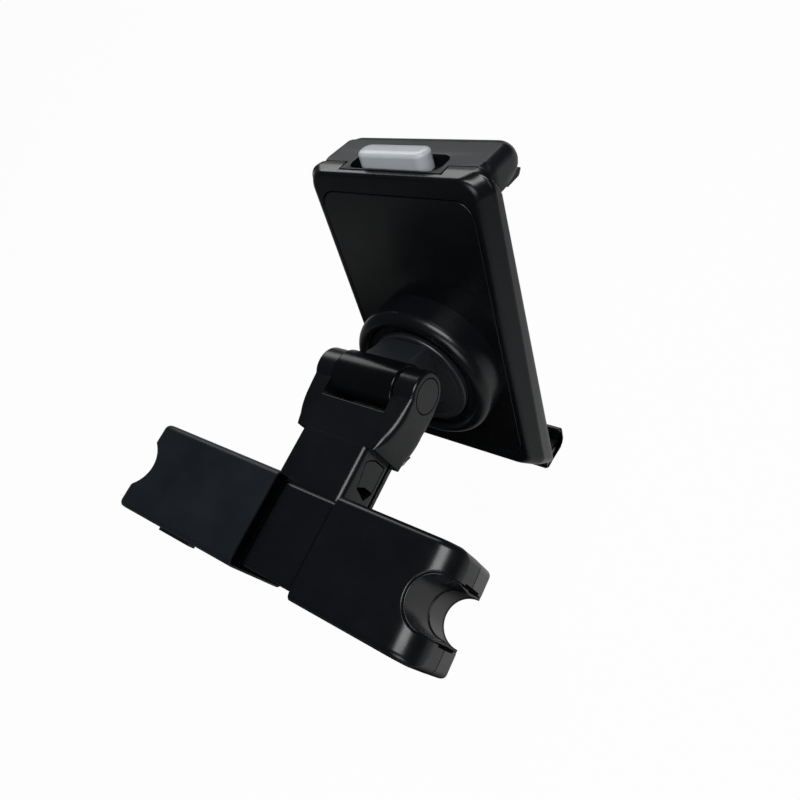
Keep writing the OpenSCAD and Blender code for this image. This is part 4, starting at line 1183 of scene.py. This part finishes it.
@dataclass
class Swivel:
    """Hinge barrel with its neck and disc, and the dome that turns on them.

    Attributes:
        barrel: radius of the barrel.
        half: its half length.
        disc: radius of the disc.
        disc_p: how far the disc's face lies from the hinge.
        dome: radius of the dome.
        rim: radius of its outer edge.
    """

    barrel: float = 12.1
    half: float = 17.4
    disc: float = 27.0
    disc_p: float = 26.0
    dome: float = 38.5
    rim: float = 5.0

    def _barrel(self) -> Form:
        """Barrel about the hinge: a turned bar whose end edges are rounded by 1.

        Returns:
            The form.
        """
        ends = [np.array([[0.6, -self.half], [self.barrel - 1.2, -self.half]]),
                arc(self.barrel - 1.0, -self.half + 1.0, 1.0, 270, 360, 6)]
        profile = np.concatenate(ends + [e[::-1] * np.array([1, -1]) for e in ends[::-1]])
        return Form().tube(lathe(profile, (0, 0), Turn.ACROSS, 144))

    def _disc(self) -> Form:
        """Disc with a fine groove in its face and its spindle, turned about the swivel's axis, and the neck.

        Returns:
            The form.
        """
        r, p = self.disc, self.disc_p
        groove = np.array([[0.5, p], [r - 4.4, p], [r - 3.9, p + 0.25], [r - 3.3, p]])
        edge = arc(r - 1.1, p + 1.1, 1.1, 270, 360, 7)
        spindle = np.array([[r, p + 3.0], [11.0, p + 3.0], [11.0, 47.0], [0.5, 47.0]])
        form = Form().tube(lathe(np.concatenate((groove, edge, spindle)), (0, SWIVEL_U), Turn.AWAY, 144))
        neck = Outline.rounded([(0, self.barrel - 3.2, 0), (27, 3, 0), (27, -33, 0), (15, -23.5, 3),
                                (0, -self.barrel + 1.2, 0)])
        return form.tube(extrude(neck, rim_levels(-13, 13, 1.6, 1.6, 6), Turn.ACROSS))

    def _dome(self) -> Form:
        """Dished dome: a turned ring, rounded outside and over its inner lip, with a flat floor.

        Returns:
            The form.
        """
        p, start = self.disc_p, np.array([[11.1, 44.0], [self.dome, 44.0]])
        lip = arc(self.dome - self.rim, p + self.rim, self.rim, 0, -90, 14)
        inner = arc(self.dome - self.rim, p + 2.2, 2.2, 270, 200, 6)
        floor = np.array([[30.6, p + 3.3], [11.1, p + 3.3]])
        profile = np.concatenate((start, lip, inner, floor, start[:1]))
        rows = lathe(profile, (0, SWIVEL_U), Turn.AWAY, 160)
        return Form().tube(rows, cap_first=False, cap_last=False)

    def build(self) -> None:
        """Builds the barrel, the disc and the dome."""
        self._barrel().build("barrel_block", Space.HOLDER, POLISHED_ABS, "tilt_block", ["hinge_barrel"])
        self._disc().build("swivel_disc", Space.HOLDER, DISC_ABS, "tilt_block")
        self._dome().build("swivel_dome", Space.HOLDER, SATIN_ABS, "holder", ["dome"], merge=True)


# Holder


@dataclass
class Holder:
    """Rear shell with its inset panel, sliding upper hook, grey button and lower hook.

    Attributes:
        panel_half: half width of the inset panel.
        panel_up: its height above the hinge.
        panel_down: how far it reaches below the hinge.
        back: P of the rear shell's back face.
        bevel: P at which the bevel ends.
        seam: P of the seam between the shell and the sliding hook.
        front: P of the shell's front edge.
        roof: height of the sliding roof's top.
        lip: P of the hooks' outer faces.
        tab: half width of the roof's tab, which carries the button.
        hook_edge: radius of the roof's edge along the hook.
    """

    panel_half: float = 40.6
    panel_up: float = 69.6
    panel_down: float = 78.3
    back: float = 42.8
    bevel: float = 49.3
    seam: float = 52.0
    front: float = 59.8
    roof: float = 79.6
    lip: float = 81.05
    tab: float = 27.3
    hook_edge: float = 8.3

    def _lean(self, piece: bpy.types.Object, inner: float) -> None:
        """Draws the side edges back towards the top, as the real shell thins there.

        A point at (x, p, u) moves by -0.043 (u + 72) along P, weighted by how far out it is from |x| = inner
        to 45 and how far forward from p = 48 to the front.

        Args:
            piece: the piece whose mesh is changed.
            inner: half width of the middle that stays flat.
        """
        mesh = piece.data
        flat = np.empty(len(mesh.vertices) * 3)
        mesh.vertices.foreach_get("co", flat)
        points = flat.reshape(-1, 3)
        local = points / MM - SHIFT - HINGE
        x, p, u = local[:, 0], local @ REACH_AXIS, local @ UP_AXIS
        outward = np.clip((np.abs(x) - inner) / (45 - inner), 0, 1)
        forward = np.clip((p - 48) / (self.front - 48), 0, 1)
        share = outward * forward * np.clip(u + 72, 0, None)
        points -= 0.043 * share[:, None] * REACH_AXIS * MM
        mesh.vertices.foreach_set("co", points.ravel())
        mesh.update()

    def _bent(self, p: np.ndarray, values: Sequence[float]) -> np.ndarray:
        """Value between the back face, the bevel's end and the front face, with soft turns.

        Args:
            p: the depths.
            values: the value at the back face, the bevel's end and the front.

        Returns:
            The value at each p, averaged over 1 each way.
        """
        near = p[:, None] + np.linspace(-1, 1, 9)
        return np.interp(near, (self.back, self.bevel, self.front), values).mean(1)

    def _frame(self, p: float, half: float, up: float, down: float, radius: float,
               over: float | None = None) -> np.ndarray:
        """Rounded rectangle at one depth, with extra points on its top edge at the tab's ends.

        Args:
            p: its depth.
            half: its half width.
            up: height of its top edge.
            down: how far its lower edge lies below the hinge.
            radius: radius of its lower corners.
            over: radius of its upper corners, the same as below if none is given.

        Returns:
            Its points, of shape (n, 3).
        """
        over = radius if over is None else over
        corners = [(-half, -down, radius), (half, -down, radius), (half, up, over), (self.tab + 0.1, up, 0),
                   (self.tab, up, 0), (-self.tab, up, 0), (-self.tab - 0.1, up, 0), (-half, up, over)]
        ring = Outline.rounded(corners, 12).points
        return np.column_stack((ring[:, 0], np.full(len(ring), p), ring[:, 1]))

    def _shell(self) -> Form:
        """Rear shell: rounded rectangles from the panel's recess over the bevel to the front edge.

        Rows run from the recess's floor outwards. Past p = 45.6 the middle of the top edge drops to the tab's
        floor. Past the seam the top drops below the sliding hook, and beside it to 78 - 1.45 (p - seam).

        Returns:
            The form.
        """
        sheet = np.array([self.panel_half, self.panel_up, self.panel_down]) + 0.3
        edge, step = 1.6, 45.6
        bend = np.linspace(0, math.pi / 2, 6)
        p = np.concatenate((self.back + edge * (1 - np.cos(bend)), (step - 0.01, step + 0.01, 47.0),
                            np.linspace(48.2, 50.4, 9),
                            (self.seam - 0.01, self.seam + 0.01, 54.0, 57.0, 59.0, self.front)))
        inset = np.concatenate((edge * (1 - np.sin(bend)), np.zeros(len(p) - 8), (0.1, 0.6)))
        half = self._bent(p, (43.6, 48.9, 48.6)) - inset
        up = self._bent(p, (78.8, 79.6, 79.6)) - inset
        down = self._bent(p, (86.3, 92.5, 103.0)) - inset
        rows = [self._frame(44.4, *sheet, 9.0), self._frame(43.1, *sheet, 8.7),
                self._frame(self.back, *(sheet + 0.25), 9.0)]
        rows += [self._frame(*v, 9.0) for v in zip(p, half, up, down)]
        rows += [self._frame(depth, 48.6 - cut, 65.5, 103.0 - cut, 7.0, 1.0)
                 for depth, cut in ((self.front, 2.6), (self.front - 2.6, 2.7))]
        rows = np.stack(rows)
        x, depth, height = rows[..., 0], rows[..., 1], rows[..., 2]
        ceiling = np.where((np.abs(x) < self.tab + 0.05) & (depth > step), 71.8, 99.0)
        cheek = np.where(np.abs(x) > 45.7, 78.0 - 1.45 * (depth - self.seam), 65.5)
        rows[..., 2] = np.minimum(height, np.where(depth > self.seam, cheek, ceiling))
        return Form().tube(rows)

    def _roof(self) -> Form:
        """Sliding roof with the upper hook, the button's pocket, both runners and their bar.

        The plan is carried up over edges of changing radius: 8.3 along the hook, 5 at the ends and 0.35 along
        the seam. Below the hook's middle the wall turns in again by r - sqrt(r^2 - h^2). The flat top is a
        polygon with the pocket's outline as its hole.

        Returns:
            The form.
        """
        seam, half, tab, end_edge, seam_edge = self.seam + 0.5, 45.0, self.tab - 0.5, 5.0, 0.35
        steps = (58.0, 59.0, 61.0, 64.0, 67.0, 70.0)
        back = [(-half, seam, 5.2), (-tab, seam, 0.3), (-tab, 46.0, 0.6), (tab, 46.0, 0.6), (tab, seam, 0.3),
                (half, seam, 5.2)]
        lip = [(half, self.lip, 8.9), (0, self.lip, 0.0), (-half, self.lip, 8.9)]
        plan = Outline.rounded(back + [(half, p, 0.0) for p in steps] + lip
                               + [(-half, p, 0.0) for p in steps[::-1]], 9)
        x, p = plan.points.T
        toward = np.clip((p - 62) / 14, 0, 1)
        end = np.clip((np.abs(x) - half + 5.3) / 4, 0, 1)
        rims = np.maximum(seam_edge + (end_edge - seam_edge) * end,
                          seam_edge + (self.hook_edge - seam_edge) * toward ** 2)
        rows = []
        for height, depth in ((65.8, 5.5), (67.5, 3.8), (69.5, 1.8)):
            turned = (self.hook_edge - math.sqrt(self.hook_edge ** 2 - depth ** 2)) * toward
            rows.append(np.column_stack((plan.inset(turned), np.full(len(x), height))))
        for a in np.linspace(math.pi / 2, 0, 9):
            flat = plan.inset(rims * (1 - math.sin(a)))
            rows.append(np.column_stack((flat, self.roof - rims * (1 - math.cos(a)))))
        form = Form().tube(np.stack(rows), cap_last=False)
        stadium = Outline.box(-24.0, 24.0, 47.4, 61.4, 5.3, 12)
        levels = [(self.roof, -0.4), (self.roof - 0.15, -0.12), (self.roof - 0.4, 0.0), (74.3, 0.0)]
        well = extrude(stadium, levels, Turn.UPWARD)
        form.tube(well, cap_first=False)
        top = tessellate_polygon([rows[-1].tolist(), well[0].tolist()])
        form.add(np.concatenate((rows[-1], well[0])), np.array(top))
        for middle in (-30.0, 30.0):
            runner = Outline.box(middle - 2.5, middle + 2.5, 52.6, 54.6)
            form.tube(extrude(runner, [(-21.9, 0.0), (66.0, 0.0)], Turn.UPWARD))
        bar = Outline.box(-32.5, 32.5, 51.2, 54.6)
        return form.tube(extrude(bar, [(-21.9, 0.0), (-13.1, 0.0)], Turn.UPWARD))

    def _hook_pad(self) -> Form:
        """Ribbed pad under the upper hook: a closed side view with saw-tooth ribs, carried across.

        Returns:
            The form.
        """
        run = np.linspace(64.6, 78.2, 23)
        teeth = 0.45 * (np.arange(23) % 2)
        ends = 1.9 * np.clip((np.abs(run - 71.4) - 4.9) / 2, 0, 1)
        ribs = np.stack((run, 63.3 + teeth + ends), 1)
        side = np.concatenate((ribs, np.array([[78.4, 66.2], [64.4, 66.2]])))
        return Form().tube(extrude(Outline.through(side), [(-43.2, 0.0), (43.2, 0.0)], Turn.ACROSS))

    def _front(self) -> Form:
        """Front plate with the lower hook: a rounded plate, the apron and a J with rounded edges.

        Returns:
            The form.
        """
        plate = [self._frame(p, 45.7 - inset, 65.2 - inset, 98.5 - inset, 6.0)
                 for p, inset in rim_levels(57.5, 59.75, 0.0, 0.5, 4)]
        plate.append(self._frame(59.75, 43.2, 62.7, 96.0, 4.0))
        form = Form().tube(np.stack(plate))
        apron = Outline.box(-43.9, 43.9, -106.0, -92.4, 2.0, 6)
        form.tube(extrude(apron, rim_levels(59.0, 61.1, 0.0, 0.5, 4), Turn.AWAY))
        hook = Outline.rounded([(59.3, -102.6, 0.3), (59.3, -106.1, 0.4), (76.6, -106.1, 3.6),
                                (self.lip, -102.0, 2.6), (self.lip, -93.6, 1.2), (78.0, -93.4, 1.2),
                                (77.9, -102.7, 1.0)], 8)
        return form.tube(extrude(hook, rim_levels(-44.0, 44.0, 1.3, 1.3, 5), Turn.ACROSS))

    def _pill(self) -> Form:
        """Grey button: upright walls between round ends, a rim of 1.8 and a crown of 0.2, on its flat rod.

        Returns:
            The form.
        """
        pill = Outline.box(-18.0, 18.0, 48.0, 58.0, 4.6, 14)
        levels = np.concatenate((rim_levels(77.0, 85.5, 0.3, 1.8, 9), np.array([[85.62, 2.6], [85.7, 3.6]])))
        rod = Outline.rounded([(-2.5, -7, 0), (-0.5, -7, 0), (2.5, -4, 0), (2.5, 78, 0), (-2.5, 78, 0)], 3)
        form = Form().tube(extrude(pill, levels, Turn.UPWARD))
        return form.tube(extrude(rod, rim_levels(51.0, 54.0, 0.2, 0.2, 3), Turn.AWAY))

    def build(self) -> None:
        """Builds the panel, the rear shell, the roof with its pad, the front moulding and the grey button."""
        h = self.panel_half
        sheet = Outline.box(-h, h, -self.panel_down, self.panel_up, 8.7, 12)
        form = Form().tube(extrude(sheet, rim_levels(self.back + 0.05, 44.3, 0.35, 0.0, 5), Turn.AWAY))
        form.build("inset_panel", Space.HOLDER, PANEL_ABS, "holder", ["back_panel"])
        shell = self._shell().build("rear_shell", Space.HOLDER, SATIN_ABS, "holder", ["back_shell"])
        self._lean(shell, 40.0)
        self._roof().build("sliding_roof", Space.HOLDER, ROOF_ABS, "upper_hook", ["upper_slide"], merge=True)
        self._hook_pad().build("ribbed_pad", Space.HOLDER, GRIP_RUBBER, "upper_hook", ["upper_pad"])
        front = self._front().build("front_moulding", Space.HOLDER, SATIN_ABS, "holder", ["front_plate"])
        self._lean(front, 43.2)
        self._pill().build("release_pill", Space.HOLDER, GREY_ABS, "top_button", ["top_button"])


# Studio


@dataclass
class Studio:
    """Pale floor, soft lamps and the camera.

    Attributes:
        eye: place of the camera.
        turn: its axes, as the rows of its rotation.
        lens: its focal length in millimetres on a 36 mm frame.
        floor_z: height of the floor.
        floor_half: half its side.
        flag: X and Y of the middle of the dark card that only reflections see.
        flag_core: radius up to which the card is whole.
        flag_edge: radius at which it has faded out.
        aim: the point that the lamps face.
    """

    eye: tuple[float, float, float] = (0.10831, -0.00846, 0.24093)
    turn: tuple[tuple[float, float, float], ...] = ((0.7929, -0.2308, 0.5639), (0.4417, 0.8552, -0.2711),
                                                    (-0.4197, 0.464, 0.7801))
    lens: float = 30.591
    floor_z: float = -0.30
    floor_half: float = 4.0
    flag: tuple[float, float] = (-0.38, -0.38)
    flag_core: float = 0.38
    flag_edge: float = 0.64
    aim: tuple[float, float, float] = (-0.08, 0.07, 0.0)

    def _pale(self, name: str, code: str, lift: float) -> bpy.types.Material:
        """Pale paper: diffuse, nearly white to the camera, with a soft dark card that only reflections see.

        Args:
            name: the material's name.
            code: colour of the paper.
            lift: share of white that the camera sees.

        Returns:
            The material.
        """
        mat = blank_material(name)
        tree = mat.node_tree
        paper = add_node(tree, "ShaderNodeBsdfDiffuse", {"Color": linear(code)})
        white = add_node(tree, "ShaderNodeEmission", {"Color": (1, 1, 1, 1), "Strength": 1.0})
        path = add_node(tree, "ShaderNodeLightPath")
        seen = add_node(tree, "ShaderNodeMath", {"operation": "MULTIPLY", 1: lift},
                        {0: path.outputs["Is Camera Ray"]})
        dim = add_node(tree, "ShaderNodeBsdfDiffuse", {"Color": linear("#101112")})
        spot = add_node(tree, "ShaderNodeTexCoord")
        away = add_node(tree, "ShaderNodeVectorMath",
                        {"operation": "DISTANCE", 1: (*self.flag, self.floor_z)}, {0: spot.outputs["Object"]})
        card = add_node(tree, "ShaderNodeMapRange",
                        {"interpolation_type": "SMOOTHSTEP", "From Min": self.flag_core,
                         "From Max": self.flag_edge, "To Min": 1.0, "To Max": 0.0},
                        {"Value": away.outputs["Value"]})
        share = add_node(tree, "ShaderNodeMath", {"operation": "MULTIPLY"},
                         {0: path.outputs["Is Glossy Ray"], 1: card.outputs[0]})
        bounce = add_node(tree, "ShaderNodeMixShader",
                          links={0: share.outputs[0], 1: paper.outputs[0], 2: dim.outputs[0]})
        mix = add_node(tree, "ShaderNodeMixShader",
                       links={0: seen.outputs[0], 1: bounce.outputs[0], 2: white.outputs[0]})
        add_node(tree, "ShaderNodeOutputMaterial", links={"Surface": mix.outputs[0]})
        return mat

    def _floor(self) -> None:
        """Adds the floor as a stage piece."""
        side, z = self.floor_half, self.floor_z
        mesh = bpy.data.meshes.new("floor")
        corners = [(-side, -side, z), (side, -side, z), (side, side, z), (-side, side, z)]
        mesh.from_pydata(corners, [], [(0, 1, 2, 3)])
        mesh.materials.append(self._pale("pale floor paper", "#dadada", 0.97))
        add_object("floor", mesh)

    def _lamp(self, name: str, spot: tuple[float, float, float], size: tuple[float, float],
              power: float) -> None:
        """Adds a rectangular soft lamp.

        Args:
            name: its name.
            spot: where it stands.
            size: its two sides.
            power: its power in watts.
        """
        data = bpy.data.lights.new(name, "AREA")
        data.shape = "RECTANGLE"
        data.size, data.size_y = size
        data.energy = power
        lamp = add_object(name, data)
        lamp.location = spot
        lamp.rotation_euler = (Vector(self.aim) - Vector(spot)).to_track_quat("-Z", "Y").to_euler()

    def _world(self) -> None:
        """Sets the faint grey air."""
        world = bpy.data.worlds.new("studio air")
        world.use_nodes = True
        background = world.node_tree.nodes["Background"]
        background.inputs["Color"].default_value = linear("#707376")
        background.inputs["Strength"].default_value = 0.3
        bpy.context.scene.world = world

    def _camera(self) -> None:
        """Adds the camera that was fitted to the photograph."""
        data = bpy.data.cameras.new("photo_view")
        data.lens = self.lens
        data.sensor_width = 36.0
        data.clip_start = 0.01
        camera = add_object("photo_view", data)
        camera.matrix_world = Matrix.Translation(self.eye) @ Matrix(self.turn).to_4x4()
        bpy.context.scene.camera = camera

    def build(self) -> None:
        """Builds the floor, the lamps, the air and the camera."""
        self._floor()
        self._lamp("overhead_soft", (0.35, 0.1, 1.1), (0.5, 0.7), 11)
        self._lamp("far_soft", (-1.0, 1.3, 0.75), (1.2, 0.6), 9)
        self._lamp("near_soft", (0.5, -1.3, 0.9), (0.9, 0.7), 8)
        self._world()
        self._camera()
        bpy.context.scene.view_settings.view_transform = "Standard"


# All together


# solids that stay as they are, by finish
KEPT: tuple[tuple[Finish, tuple[str, ...]], ...] = (
    (ZINC_STEEL, ("fixed_jaw_screws", "sliding_jaw_screws", "arm_screws", "dome_screws", "spindle_screw",
                  "holder_screws")),
    (DRAWN_STEEL, ("jaw_spring", "pawl_spring", "side_button_spring", "top_button_spring", "slide_springs",
                   "hinge_pin", "hinge_washers", "spindle_washer")),
    (INNER_ABS, ("jaw_rack", "jaw_pawl", "slide_pawl", "holder_rack")),
    (GRIP_RUBBER, ("lower_pad",)),
)


def dress_kept() -> None:
    """Gives the solids that stay as they are their finishes."""
    for finish, nodes in KEPT:
        for node in nodes:
            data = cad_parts[node].data
            data.materials.clear()
            data.materials.append(finish.material())


def main() -> None:
    """Builds every sub-assembly in order."""
    logging.basicConfig(level=logging.INFO, format="%(name)s: %(message)s")
    for maker in (Studio(), Clamp(), Arm(), Swivel(), Holder()):
        maker.build()
        LOG.info("built %s", type(maker).__name__)
    dress_kept()


if __name__ == "__main__":
    main()
